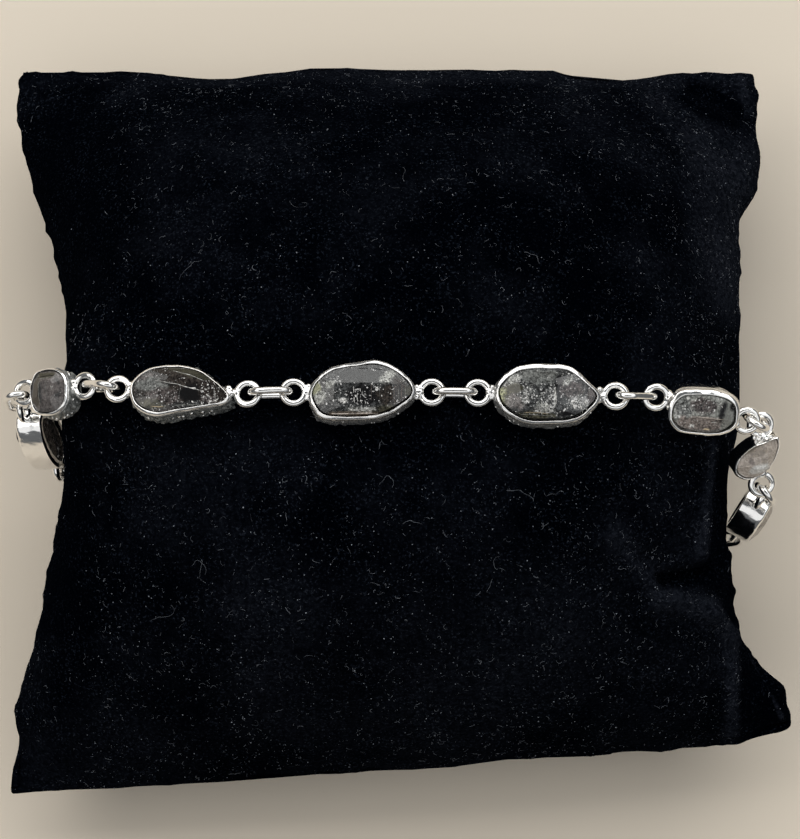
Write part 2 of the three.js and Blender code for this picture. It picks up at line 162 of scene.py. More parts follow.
SETTINGS = read_table("""
outline length width turn drift roll swing veer reach entry exit rim  wider groove rough ridge
tablet  4.4    4.7   -26  -1    0    -30   6    1.3   0.45  0.4  0.25 0     0      0.09  0
pear    10.0   5.3   -9   4     -8   0     -3   1.45  0.25  0.3  0.3  0     0      0.1   0
hexagon 10.4   5.9   0    0     0    0     0    1.45  0     0    0.4  0.1   0.02   0.055 0
navette 10.3   5.9   2    1     1    28    -6   1.5   0.1   0.1  0.42 0.3   0.02   0.06  0
tablet  7.1    4.6   7    2     24   40.3  -55  1.05  1.0   -0.8 0.42 0.25  0      0     0.16
lozenge 4.55   4.4   95.5 62    88   -10   -39  0.82  0.35  1.0  0.22 0     0      0     0
oval    7.2    5.0   98   12    32   8     0    1.45  0     0    0.3  0     0      0     0
navette 9.4    5.4   172  -4    14   0     0    1.45  0     0    0.36 0     0      0     0
oval    10.0   5.4   180  -6    0    0     0    1.45  0     0    0.36 0     0      0     0
oval    10.2   5.6   197  -10   0    14    0    1.45  0     0    0.36 0     0      0     0
oval    8.8    4.9   257  -22   0    -25   2    1.45  0     0    0.3  0     0      0     0
""")
anchor, anchor_place = 2, Vector((-3.6, -1.2, 34.5))
last_before_clasp = 8
eye_radius, eye_wire = 1.075, 0.35
ring_length, ring_half_width, ring_wire = 3.92, 1.05, 0.36
wire_clearance = 0.1
ring_reach = ring_length - 2 * (eye_wire + ring_wire + wire_clearance)
print(len(SETTINGS), "settings, joined by jump rings that reach", round(ring_reach, 2), "mm")

# %% Directions and eyes
def attitude(turn, drift, roll):
    """A rotation: rolled about the long side, swung to the near side, then turned round the cushion."""
    turned = Matrix.Rotation(radians(turn), 3, "Y") @ Matrix.Rotation(radians(-drift), 3, "Z")
    return turned @ Matrix.Rotation(radians(roll), 3, "X")


def attitude_of(row):
    return attitude(row["turn"], row["drift"], row["roll"])


def eye_place(row, side):
    """The middle of a cup's eye, from the cup's own middle."""
    return Vector((side * (row["length"] / 2 + row["reach"]), row["exit" if side > 0 else "entry"], 0))


def in_face(rotation, direction):
    """A direction laid flat into the face of a cup, where the wire of its eye runs."""
    normal = rotation @ Vector((0, 0, 1))
    return (direction - normal * direction.dot(normal)).normalized()


longest = max(SETTINGS, key=lambda row: row["length"])
print("the longest cup spans", round((eye_place(longest, 1) - eye_place(longest, -1)).length, 1), "mm")

# %% One step along the chain
def hang_next(place, row, next_row, way):
    """Gives the jump ring and the next setting, clockwise for way 1 and the other way for -1."""
    position, rotation = place
    unwound = next_row["turn"] - 360 * round((next_row["turn"] - row["turn"]) / 360)
    bend = row if way > 0 else next_row
    turn = (row["turn"] + unwound) / 2 + bend["swing"]
    drift = (row["drift"] + next_row["drift"]) / 2 + bend["veer"]
    direction = attitude(turn, drift, 0) @ Vector((way, 0, 0))
    next_rotation = attitude_of(next_row)
    hooks = [in_face(rotation, direction), in_face(next_rotation, direction)]
    start = position + rotation @ eye_place(row, way) + hooks[0] * eye_radius
    end = start + direction * ring_reach
    next_position = end + hooks[1] * eye_radius - next_rotation @ eye_place(next_row, -way)
    # The ring stands across the wires of both eyes.
    wires = rotation.col[2].cross(hooks[0]) + next_rotation.col[2].cross(hooks[1])
    face = direction.cross(wires).normalized()
    ring_rotation = Matrix((direction * way, face.cross(direction) * way, face)).transposed()
    return ((start + end) / 2, ring_rotation), (next_position, next_rotation)


# %% Hang the whole chain
places = {anchor: (anchor_place, attitude_of(SETTINGS[anchor]))}
ring_places = []
count = len(SETTINGS)
clockwise = [(i, i + 1, 1) for i in range(anchor, last_before_clasp)]
backwards = [((anchor - s) % count, (anchor - s - 1) % count, -1) for s in range(count - 1 - len(clockwise))]
for i, j, way in clockwise + backwards:
    ring_place, places[j] = hang_next(places[i], SETTINGS[i], SETTINGS[j], way)
    ring_places.append(ring_place)
chain_gap = places[last_before_clasp][0] - places[last_before_clasp + 1][0]
print("the chain's ends lie", round(chain_gap.length, 1), "mm apart")

# %% Close the loop with the clasp
ends = [(last_before_clasp, 1), (last_before_clasp + 1, -1)]
eyes = [places[i][0] + places[i][1] @ eye_place(SETTINGS[i], side) for i, side in ends]
hooks = [in_face(places[i][1], eyes[1] - eyes[0]) * eye_radius for i, _ in ends]
start, end = eyes[0] + hooks[0], eyes[1] - hooks[1]
along = (end - start).normalized()
clasp_length = (end - start).length - 2 * ring_reach
sideways = Vector((0, 0, -1)).cross(along).normalized()
clasp_rotation = Matrix((along, sideways, along.cross(sideways))).transposed()
clasp_place = ((start + end) / 2, clasp_rotation)
ring_places.append((start + along * ring_reach / 2, clasp_rotation))
ring_places.append((end - along * ring_reach / 2, clasp_rotation))
print("clasp of", round(clasp_length, 1), "mm closes the loop of", len(ring_places), "jump rings")

# %% [markdown]
# ## Placing a finished piece
# Each piece is modelled flat, about its own middle and in millimetres, as a maker would draw it. The
# first helper turns it into metres, hangs it at its place in the chain, and says which plain solid it
# stands for. The second measures how far its box departs from the box of that solid. A finish may
# round an edge or raise a lump of solder, but it must never change the size of the object.

# %% Put and measure
def put(name, mesh, place, nodes):
    """Places a mesh made in millimetres about its own middle, and lets it stand for its solids."""
    position, rotation = place
    mesh.transform(Matrix.Scale(mm, 4))
    made = new_object(name, mesh)
    made.matrix_world = Matrix.Translation(position * mm) @ rotation.to_4x4()
    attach(made, "root")
    if nodes:
        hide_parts(*nodes)
    return made


def misfit(made, node):
    """How far, in mm, a finished piece's box departs from its solid's box."""
    points = [made.matrix_world @ v.co for v in made.data.vertices]
    low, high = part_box(node)
    spans = [(min(p[a] for p in points) - low[a], max(p[a] for p in points) - high[a]) for a in range(3)]
    return round(max(abs(d) for pair in spans for d in pair) / mm, 2)


# %% [markdown]
# ## Polished silver
# Sterling silver is nearly white and very bright. Worn by hand polishing, its surface is never quite
# flat: broad soft waves bend the reflections, and fine hairlines blur them. A little dark tarnish
# stays where a polishing cloth can't reach, in the corners beside the solder. Pointiness, the mesh's own
# measure of hollows, finds those corners.
#
# The walls of some cups were never polished. Solder and the torch left them grey and pitted, which a
# jeweller calls firescale. Only the maker knows where, so the mesh says it: each point of a cup stores a
# number called worn, and the material turns from polish to firescale as that number rises.
#
# Materials are trees of nodes. Each small helper below adds one node and gives back what comes out of
# it, so that a finish reads like a recipe.

# %% Numbers in a material
def attribute(tree, name, output):
    """A value that the mesh stores on its points."""
    node = tree.nodes.new("ShaderNodeAttribute")
    node.attribute_name = name
    return node.outputs[output]


def calc(tree, operation, *values):
    """Arithmetic with sockets and plain numbers."""
    node = tree.nodes.new("ShaderNodeMath")
    node.operation = operation
    for socket, value in zip(node.inputs, values):
        if isinstance(value, (int, float)):
            socket.default_value = value
        else:
            tree.links.new(value, socket)
    return node.outputs["Value"]


def stretch(tree, value, low, high, to_low=0.0, to_high=1.0):
    """Maps low..high to to_low..to_high, clamped."""
    node = tree.nodes.new("ShaderNodeMapRange")
    for name, number in zip(("From Min", "From Max", "To Min", "To Max"), (low, high, to_low, to_high)):
        node.inputs[name].default_value = number
    tree.links.new(value, node.inputs["Value"])
    return node.outputs["Result"]


# %% Colours in a material
def mixed(tree, share, a, b, blend="MIX"):
    """Mixes two colours, each a socket or a plain colour, by a share that is a socket or a number."""
    node = tree.nodes.new("ShaderNodeMix")
    node.data_type = "RGBA"
    node.blend_type = blend
    colors = [socket for socket in node.inputs if socket.type == "RGBA"]
    for socket, value in zip((node.inputs[0], *colors), (share, a, b)):
        if isinstance(value, tuple):
            socket.default_value = (*value, 1)
        elif isinstance(value, float):
            socket.default_value = value
        else:
            tree.links.new(value, socket)
    return next(socket for socket in node.outputs if socket.type == "RGBA")


def ramp(tree, factor, *stops):
    """A colour ramp through (position, colour) stops."""
    node = tree.nodes.new("ShaderNodeValToRGB")
    for element, (position, color) in zip(node.color_ramp.elements, stops):
        element.position = position
        element.color = (*color, 1)
    tree.links.new(factor, node.inputs["Fac"])
    return node.outputs["Color"]


# %% Patterns in a material
def noise_of(tree, scale, detail=2.0, roughness=0.5, drawn=(1, 1, 1)):
    """Noise of scale waves per mm, drawn out or packed along each axis."""
    coordinates = tree.nodes.new("ShaderNodeTexCoord")
    mapping = tree.nodes.new("ShaderNodeMapping")
    mapping.inputs["Scale"].default_value = Vector(drawn) * scale / mm
    texture = tree.nodes.new("ShaderNodeTexNoise")
    texture.inputs["Scale"].default_value = 1.0
    texture.inputs["Detail"].default_value = detail
    texture.inputs["Roughness"].default_value = roughness
    tree.links.new(coordinates.outputs["Object"], mapping.inputs["Vector"])
    tree.links.new(mapping.outputs["Vector"], texture.inputs["Vector"])
    return texture.outputs["Fac"]


def cells(tree, scale):
    """Voronoi cells: two random numbers for each, and the distance from its middle."""
    coordinates = tree.nodes.new("ShaderNodeTexCoord")
    texture = tree.nodes.new("ShaderNodeTexVoronoi")
    texture.inputs["Scale"].default_value = scale / mm
    tree.links.new(coordinates.outputs["Object"], texture.inputs["Vector"])
    split = tree.nodes.new("ShaderNodeSeparateColor")
    tree.links.new(texture.outputs["Color"], split.inputs["Color"])
    return split.outputs["Red"], split.outputs["Green"], texture.outputs["Distance"]


def bump(tree, height, depth, below=None):
    """Tilts the surface by a height map that is depth mm high, on top of another bump if there is one."""
    node = tree.nodes.new("ShaderNodeBump")
    node.inputs["Distance"].default_value = depth * mm
    tree.links.new(height, node.inputs["Height"])
    if below is not None:
        tree.links.new(below, node.inputs["Normal"])
    return node.outputs["Normal"]


# %% Silver
def shader_of(name, color, roughness, metallic=0.0):
    """A new material with its tree and its shader."""
    material = plain_material(name, color, roughness)
    shader = material.node_tree.nodes["Principled BSDF"]
    shader.inputs["Metallic"].default_value = metallic
    return material, material.node_tree, shader


bright, tarnish = (0.93, 0.92, 0.9), (0.35, 0.33, 0.31)
grey_scale, dark_scale = (0.46, 0.475, 0.46), (0.035, 0.04, 0.037)
silver, tree, shader = shader_of("polished_silver", bright, 0.12, 1.0)
geometry = tree.nodes.new("ShaderNodeNewGeometry")
polish = ramp(tree, geometry.outputs["Pointiness"], (0.40, tarnish), (0.47, bright))
worn = attribute(tree, "worn", "Fac")
flakes = noise_of(tree, 3.4, 5, 0.75)
firescale = ramp(tree, flakes, (0.4, dark_scale), (0.6, grey_scale))
tree.links.new(mixed(tree, worn, polish, firescale), shader.inputs["Base Color"])
tree.links.new(calc(tree, "SUBTRACT", 1.0, calc(tree, "MULTIPLY", worn, 0.45)), shader.inputs["Metallic"])
hairlines = stretch(tree, noise_of(tree, 2.2, 6, 0.7, (1, 6, 1)), 0.3, 0.75, 0.07, 0.24)
blur = calc(tree, "ADD", hairlines, calc(tree, "MULTIPLY", worn, 0.25))
tree.links.new(blur, shader.inputs["Roughness"])
waves = bump(tree, noise_of(tree, 0.9, 1), 0.10)
pits = bump(tree, calc(tree, "MULTIPLY", worn, flakes), 0.22, waves)
tree.links.new(bump(tree, noise_of(tree, 7, 3), 0.006, pits), shader.inputs["Normal"])
print("silver of", len(tree.nodes), "nodes")

# %% [markdown]
# ## The bezel cups
# A bezel is a strip of thin sheet silver bent round the stone, soldered to a narrow ledge, and rubbed
# over the stone's edge with a burnisher. It could be cut from a swept profile, but here the profile is
# lofted round the stone's own outline, because the strip is worked by hand: its height and its rim
# wander by a few hundredths of a millimetre, and those small errors make the highlights look real. The
# roughly made cups also bulge where solder lies under the surface.

# %% Outlines of the stones
OUTLINES = {
    "pear": [(-1, 0), (-0.9, 0.47), (-0.64, 0.84), (-0.13, 1), (0.32, 0.86), (0.82, 0.23), (1, -0.17),
             (0.88, -0.45), (0.45, -0.64), (-0.03, -0.84), (-0.46, -1), (-0.82, -0.72)],
    "hexagon": [(-1, -0.05), (-0.88, 0.35), (-0.57, 0.77), (-0.05, 0.96), (0.3, 1), (0.68, 0.7), (1, -0.02),
                (0.78, -0.5), (0.35, -0.9), (-0.3, -1), (-0.76, -0.92), (-0.95, -0.5)],
    "navette": [(-1, 0), (-0.93, 0.35), (-0.58, 0.87), (0, 1), (0.4, 0.93), (0.76, 0.46), (1, -0.03),
                (0.88, -0.42), (0.55, -0.88), (0, -1), (-0.5, -0.95), (-0.88, -0.5)],
    "tablet": [(-1, 0), (-0.95, 0.45), (-0.7, 0.9), (-0.2, 1), (0.5, 0.92), (0.9, 0.6), (1, 0.05),
               (0.93, -0.55), (0.6, -0.9), (0, -1), (-0.65, -0.88), (-0.95, -0.45)],
    "lozenge": [(-0.52, -0.32), (-0.79, 0.3), (-1, 0.88), (-0.75, 1), (-0.07, 0.86), (0.46, 0.57),
                (0.89, 0.08), (1, -0.5), (0.75, -0.95), (0.2, -0.98)],
    "oval": [(-1, 0), (-0.87, 0.52), (-0.5, 0.87), (0, 1), (0.5, 0.87), (0.87, 0.52), (1, 0),
             (0.87, -0.52), (0.5, -0.87), (0, -1), (-0.5, -0.87), (-0.87, -0.52)],
}
print(len(OUTLINES), "outlines of", sum(map(len, OUTLINES.values())), "points in all")

# %% A smooth curve through the points
def smooth_loop(points, steps):
    """A centripetal Catmull-Rom curve through a closed row of points."""
    points = [Vector(p) for p in points]
    loop = []
    for i in range(steps):
        span, share = divmod(i / steps * len(points), 1)
        p = [points[(int(span) + k) % len(points)] for k in (-1, 0, 1, 2)]
        gap = [max((p[k + 1] - p[k]).length ** 0.5, 1e-6) for k in range(3)]
        leave = (p[1] - p[0]) / gap[0] - (p[2] - p[0]) / (gap[0] + gap[1]) + (p[2] - p[1]) / gap[1]
        arrive = (p[2] - p[1]) / gap[1] - (p[3] - p[1]) / (gap[1] + gap[2]) + (p[3] - p[2]) / gap[2]
        leave, arrive = leave * gap[1], arrive * gap[1]
        a = 2 * p[1] - 2 * p[2] + leave + arrive
        b = -3 * p[1] + 3 * p[2] - 2 * leave - arrive
        loop.append(a * share ** 3 + b * share ** 2 + leave * share + p[1])
    return loop


def outline_of(row, steps):
    """The bezel's outside, anticlockwise, as fractions of half its length and half its width."""
    return smooth_loop(OUTLINES[row["outline"]][::-1], steps)


# %% Skinning rings
def skin(rings, closed=False):
    """Faces between rings of equal point counts, as (vertices, faces). An open row gets end caps."""
    count = len(rings[0])
    vertices = [p for ring in rings for p in ring]
    faces = []
    for r in range(len(rings) if closed else len(rings) - 1):
        low, high = r * count, (r + 1) % len(rings) * count
        for i in range(count):
            j = (i + 1) % count
            faces.append((low + i, low + j, high + j, high + i))
    if not closed:
        faces.append(tuple(reversed(range(count))))
        faces.append(tuple(range((len(rings) - 1) * count, len(rings) * count)))
    return vertices, faces


def mesh_of(name, parts, material):
    """One smooth mesh from several (vertices, faces) parts."""
    vertices, faces = [], []
    for part_vertices, part_faces in parts:
        base = len(vertices)
        vertices += [tuple(v) for v in part_vertices]
        faces += [tuple(base + i for i in face) for face in part_faces]
    mesh = bpy.data.meshes.new(name)
    mesh.from_pydata(vertices, [], faces)
    mesh.materials.append(material)
    mesh.shade_smooth()
    return mesh


def store(mesh, name, values, kind="FLOAT", field="value"):
    """Keeps a number or a colour on each point of a mesh, where a material finds it by name."""
    mesh.attributes.new(name, kind, "POINT").data.foreach_set(field, values)


# %% [markdown]
# ## The strip and its section
# The section is the shape one sees where the strip is cut across: an upright wall, a rim that leans in
# and curls down on the stone, and a narrow ledge inside, on which the stone rests. Its places are closer
# together where it curls. Insets grow with the width of the rim, so one section serves all the cups.

# %% The strip's section
wall_height = 2.7
half_height = wall_height / 2
wall_share = 0.85
ledge_thickness, ledge_width = 0.4, 0.55


def cup_profile(groove):
    """Places round the strip's section, from the foot up the outside, over the rim and down to the ledge.

    Each is a fixed inset, a share of the rim's width, and a height."""
    top, foot = half_height, -half_height
    wall = [foot, *(foot + 0.1 + 0.2 * k for k in range(9)), *(top - 0.8 + 0.1 * k for k in range(5))]
    over = [(0.02, -0.3), (0.08, -0.2), (0.22, -0.13), (0.45, -0.07 - groove), (0.68, -0.02), (0.82, 0.0),
            (0.94, -0.05), (1.0, -0.18), (0.93, -0.5)]
    ledge = foot + ledge_thickness
    inside = [(0, 0.2), (0, ledge), (ledge_width, ledge), (ledge_width, foot)]
    return [*((0.0, 0, z) for z in wall), *((0.0, share, top + z) for share, z in over),
            *((inset, wall_share, z) for inset, z in inside)]


print(len(cup_profile(0)), "places round the section of a strip", wall_height, "mm wide")

# %% The cup
ridge_drop, ridge_half = 0.62, 0.13
rim_drop, rim_fade = 0.28, 0.2
uneven_above, rough_below = 0.5, 0.6
wall_steps = 160


def clamp(value):
    return min(max(value, 0), 1)


def wear(row, z):
    """How rough and grey the metal is at a height: all of the wall on a rough cup, but not its rim."""
    return clamp(row["rough"] * 10) * clamp((half_height - rim_drop - z) / rim_fade)


def give_of(row, spot, share, y, z):
    """How far the strip gives inwards at a spot, in mm. The rim wanders most, and a rough wall bulges."""
    give = noise.noise(spot * 0.6) * 0.04
    if share:
        return give + noise.noise(spot * 1.1 + Vector((5, 0, 0))) * 0.05
    if z < rough_below:
        give -= max(noise.noise(spot * 2.3), -0.2) * row["rough"] * 3.5
    below = (half_height - ridge_drop - z) / ridge_half
    return give - row["ridge"] * max(1 - below * below, 0) * max(y, 0) ** 0.5


def cup(row, seed):
    """The strip's section lofted round the outline of its stone."""
    outline = outline_of(row, wall_steps)
    half_length, half_width = row["length"] / 2, row["width"] / 2
    rings = []
    for fixed, share, z in cup_profile(row["groove"]):
        ring = []
        for x, y in outline:
            rim = row["rim"] * (1 + row["wider"] * y)
            spot = Vector((x * half_length, y * half_width, z)) + Vector((seed, 0, 0))
            dip = noise.noise(spot * 0.9) * 0.05 if z > uneven_above else 0.0
            inset = fixed + share * rim + give_of(row, spot, share, y, z)
            ring.append(Vector((x * (half_length - inset), y * (half_width - inset), z + dip)))
        rings.append(ring)
    return skin(rings, closed=True)


print("a cup has", len(cup(SETTINGS[anchor], 0)[0]), "points")

# %% [markdown]
# ## Eyes and solder
# Each eye is a small round jump ring that is soldered flat to the end of the cup. Solder never stays a
# neat fillet on handmade work: it pools in the corner and sets in two or three rounded lumps. A voxel
# remesh melts the wire, a short neck and the lumps into one skin, which no join of clean shapes gives.
# Each eye gets lumps of its own, set by a seed. On the rough cups more solder has run along the wall,
# and there small half-sunk balls are enough.

# %% A ring of round wire
wire_sides = 16


def turns(count):
    """The angles of a full circle in equal steps."""
    return [2 * pi * k / count for k in range(count)]


def wire_loop(path, wire):
    """A round wire swept along a closed flat loop of (centre, outward, upward) places."""
    rings = [[centre + (outward * cos(t) + upward * sin(t)) * wire for t in turns(wire_sides)]
             for centre, outward, upward in path]
    return skin(rings, closed=True)


def round_path(radius, steps):
    """A circle, as the path of a wire."""
    outs = [Vector((cos(t), sin(t), 0)) for t in turns(steps)]
    return [(out * radius, out, Vector((0, 0, 1))) for out in outs]


def ball(centre, size, fineness=3):
    """A round lump of solder."""
    made = bmesh.new()
    bmesh.ops.create_icosphere(made, subdivisions=fineness, radius=size)
    vertices = [v.co + centre for v in made.verts]
    faces = [tuple(v.index for v in face.verts) for face in made.faces]
    made.free()
    return vertices, faces


# %% Melting parts together
melt_voxel = 0.075


def melted(parts):
    """Merges overlapping parts into one smooth skin, as (vertices, faces)."""
    crucible = new_object("melting", mesh_of("melting", parts, silver))
    remesh = crucible.modifiers.new("melt", "REMESH")
    remesh.mode = "VOXEL"
    remesh.voxel_size = melt_voxel
    relax = crucible.modifiers.new("relax", "SMOOTH")
    relax.factor, relax.iterations = 0.5, 2
    shape = crucible.evaluated_get(bpy.context.evaluated_depsgraph_get()).to_mesh()
    skinned = [v.co.copy() for v in shape.vertices], [tuple(p.vertices) for p in shape.polygons]
    bpy.data.objects.remove(crucible)
    return skinned


# %% The soldered eye
bead_size, bead_spacing, waist = 0.47, 0.12, 0.12
sunk_in_wall, sunk_in_wire = 0.1, 0.08


def soldered_eye(neck, seed):
    """An eye with its middle at the origin. Its cup's wall is at -X, neck mm from the wire's middle."""
    rng = random.Random(seed)
    inner, outer = -eye_radius - neck - sunk_in_wall, -eye_radius - sunk_in_wire
    parts = [wire_loop(round_path(eye_radius, 48), eye_wire)]
    # The neck: a row of beads, a little thinner at its waist.
    beads = max(3, round(neck / bead_spacing))
    for k in range(beads):
        share = k / (beads - 1)
        size = bead_size - waist * sin(pi * share)
        x = inner + (outer - inner) * share
        parts.append(ball(Vector((x, rng.uniform(-0.1, 0.1), rng.uniform(-0.06, 0.06))), size))
    # Solder in the corners: a large lump on the wall and a small one on the wire, on each side.
    for side in (-1, 1):
        lump = (inner + rng.uniform(0.1, 0.25), side * rng.uniform(0.38, 0.62), rng.uniform(-0.05, 0.3))
        parts.append(ball(Vector(lump), rng.uniform(0.28, 0.42)))
        lump = (-eye_radius - 0.02, side * rng.uniform(0.42, 0.55), rng.uniform(0, 0.12))
        parts.append(ball(Vector(lump), rng.uniform(0.17, 0.23)))
    return melted(parts)


def eye_at(at, side, neck, seed):
    """A soldered eye at one end of a piece, with its neck turned to the metal."""
    place = Matrix.Translation(at) @ Matrix.Rotation(0 if side > 0 else pi, 4, "Z")
    vertices, faces = soldered_eye(neck, seed)
    return [place @ v for v in vertices], faces


def wall_at(row, side, y):
    """How far the outline reaches towards one end at the sideways place y."""
    half = Vector((row["length"] / 2, row["width"] / 2))
    edge = [p * half for p in outline_of(row, 90) if p.x * side > 0]
    return abs(min(edge, key=lambda p: abs(p.y - y)).x)


# %% Spilt solder
solder_from = 0.05
lumps_for_roughness = 420


def spilt_solder(row, seed):
    """Small lumps of solder that ran out along the foot of a roughly made cup."""
    rng = random.Random(seed)
    outline = outline_of(row, wall_steps)
    lumps = []
    for _ in range(round(row["rough"] * lumps_for_roughness)):
        x, y = outline[rng.randrange(wall_steps)].xy
        height = -half_height + 0.25 + 1.5 * rng.random() ** 1.5
        size = rng.uniform(0.08, 0.1 + row["rough"] * 1.6)
        sunk = size * 0.3
        spot = Vector((x * (row["length"] / 2 - sunk), y * (row["width"] / 2 - sunk), height))
        lumps.append(ball(spot, size, 2))
    return lumps


# %% Cups with their eyes
noise_step = 7.3
for i, row in enumerate(SETTINGS):
    parts = [cup(row, i * noise_step)]
    if row["rough"] > solder_from:
        parts += spilt_solder(row, 60 + i)
    for side in (-1, 1):
        at = eye_place(row, side)
        neck = abs(at.x) - eye_radius - wall_at(row, side, at.y)
        parts.append(eye_at(at, side, neck, 2 * i + side))
    bezel_mesh = mesh_of("bezel", parts, silver)
    wall_points = len(parts[0][0])
    wear_of_points = [wear(row, v.co.z) if v.index < wall_points else 0.0 for v in bezel_mesh.vertices]
    store(bezel_mesh, "worn", wear_of_points)
    bezel = put(f"bezel_{i + 1}", bezel_mesh, places[i], [f"setting_{i + 1}"])
    print(bezel.name, row["outline"], "departs", misfit(bezel, f"setting_{i + 1}"), "mm")

# %% [markdown]
# ## Jump rings
# These are oval links, closed and soldered shut, and a little bent by handling. A curve with a bevel
# would sweep the wire too, but a loop written out point by point can be bent a different way for each
# link: it runs round two half circles joined by straights, and gives a little as it turns.

# %% Oval jump rings
link_steps, link_bend, bend_step = 64, 0.03, 1.9


def oval_path(steps, seed):
    """Places round a link, starting at the middle of one end. The seed bends each link its own way."""
    straight = ring_length / 2 - ring_half_width
    quarter = pi * ring_half_width / 2
    lap = 2 * pi * ring_half_width + 4 * straight
    path = []
    for s in range(steps):
        way = s / steps * lap
        if way < quarter or way > lap - quarter:
            turn, x = (way if way < quarter else way - lap) / ring_half_width, straight
        elif way < quarter + 2 * straight:
            turn, x = pi / 2, straight - (way - quarter)
        elif way < 3 * quarter + 2 * straight:
            turn, x = pi / 2 + (way - quarter - 2 * straight) / ring_half_width, -straight
        else:
            turn, x = 3 * pi / 2, -straight + way - 3 * quarter - 2 * straight
        outward = Vector((cos(turn), 0, sin(turn)))
        give = link_bend * sin(2 * turn + seed)
        path.append((Vector((x, 0, 0)) + outward * (ring_half_width + give), outward, Vector((0, -1, 0))))
    return path


for k, ring_place in enumerate(ring_places):
    loop = wire_loop(oval_path(link_steps, k * bend_step), ring_wire)
    link = put(f"link_{k + 1}", mesh_of("link", [loop], silver), ring_place, [f"jump_ring_{k + 1}"])
print(len(ring_places), "links, the last departs", misfit(link, f"jump_ring_{k + 1}"), "mm")

# %% [markdown]
# ## The clasp
# It lies under the cushion, out of sight, so it is a plain rounded barrel with an eye at each end.

# %% Clasp
barrel_half_width, barrel_half_depth = 1.7, 1.05
barrel_steps, barrel_sides = 24, 40
clasp_neck = 0.2
body_end = clasp_length / 2 - 2 * eye_radius
barrel = []
for s in range(barrel_steps + 1):
    tilt = pi * (s / barrel_steps - 0.5)
    swell = max(cos(tilt), 0.02) ** 0.7
    width, depth = barrel_half_width * swell, barrel_half_depth * swell
    ring = [(sin(tilt) * body_end, cos(t) * width, sin(t) * depth) for t in turns(barrel_sides)]
    barrel.append(ring)
parts = [skin(barrel)]
for side in (-1, 1):
    parts.append(eye_at(Vector((side * (clasp_length / 2 - eye_radius), 0, 0)), side, clasp_neck, 40 + side))
clasp = put("closed_clasp", mesh_of("clasp", parts, silver), clasp_place, ["clasp"])
print("clasp departs", misfit(clasp, "clasp"), "mm")

# %% [markdown]
# ## Rock crystals
# Quartz grows as six-sided prisms, and these small ones are pointed at both ends. Lying on its side in a
# cup, a crystal shows one long top face, a sloping face along each side, and the fans of facets of its
# points. Cutting a block with one plane after another, as a lapidary would, gives true flat faces
# and crisp edges, which a sculpted or smoothed lump never has.
#
# In the table, far and near are the long edges of the top face, in millimetres across, and left and
# right are its ends, in millimetres along. Dome is how far it stands over the rim, lean and pitch tilt
# it, in degrees, and chips are small breaks along its edges. A tilt of a few degrees decides which
# softbox a face mirrors, and so whether one looks into the crystal or only at its gloss. Tone, haze and
# spark are its looks where no patch lies, and the seed sets its random breaks.

# %% How each crystal grew
CRYSTALS = read_table("""
far near left right dome lean pitch chips tone  haze spark seed
1.0 -0.9 -0.8 0.9   0.5  0    0     1     mauve 0.75 0.01  11
1.6 -1.4 -2.8 2.6   0.3  8    7     4     umber 0.75 0.03  12
0.6 -1.7 -2.7 2.9   0.6  0    0     7     slate 0.6  0.05  13
1.3 -1.5 -2.4 0.9   0.6  -2   -2    9     slate 0.6  0.07  14
0.7 -0.5 -1.8 1.9   0.45 -14  0     4     milk  0.7  0.012 15
0.9 -0.7 -0.9 0.9   0.5  3    0     1     blush 0.8  0.0   16
0.9 -0.9 -1.6 1.6   0.5  0    0     3     fawn  0.7  0.02  17
1.0 -1.0 -2.6 2.6   0.45 0    3     6     slate 0.5  0.04  18
1.0 -1.0 -2.6 2.6   0.45 0    0     6     umber 0.5  0.04  19
1.0 -1.0 -2.6 2.6   0.45 0    -3    6     slate 0.5  0.04  20
0.9 -0.9 -2.2 2.2   0.5  0    0     5     mauve 0.6  0.03  21
""")
print(sum(int(habit["chips"]) for habit in CRYSTALS), "breaks on", len(CRYSTALS), "crystals")

# %% Blocks and cuts
def blank(outline, half_length, half_width, foot, top):
    """A block with upright sides that fits its cup."""
    rings = [[Vector((x * half_length, y * half_width, z)) for x, y in outline] for z in (foot, top)]
    vertices, faces = skin(rings)
    block = bmesh.new()
    corners = [block.verts.new(v) for v in vertices]
    for face in faces:
        block.faces.new([corners[i] for i in face])
    return block


def cut(block, point, normal):
    """Cuts off what lies outside a plane and closes the cut with a face."""
    everything = block.verts[:] + block.edges[:] + block.faces[:]
    made = bmesh.ops.bisect_plane(
        block, geom=everything, plane_co=point, plane_no=normal, clear_outer=True, dist=1e-5)
    rim = [e for e in made["geom_cut"] if isinstance(e, bmesh.types.BMEdge)]
    if len(rim) > 2:
        bmesh.ops.contextual_create(block, geom=rim)


# %% Points and chips
fan_angle, fan_start = 40, 0.6


def cut_points(block, habit, rng, half_length, top, drop):
    """Three facets at each end, fanned out as on a grown crystal."""
    for tip, side in ((habit["left"], -1), (habit["right"], 1)):
        for fan in (-fan_angle, 0, fan_angle):
            spread = radians(fan + rng.uniform(-6, 6))
            out = Vector((side * cos(spread), sin(spread), 0))
            ridge = habit["far"] if fan > 0 else habit["near"]
            start = Vector((tip, ridge * fan_start * (fan != 0), top))
            slope = drop / (half_length - abs(tip)) * rng.uniform(0.85, 1.1)
            cut(block, start, out * slope + Vector((0, 0, 1)))


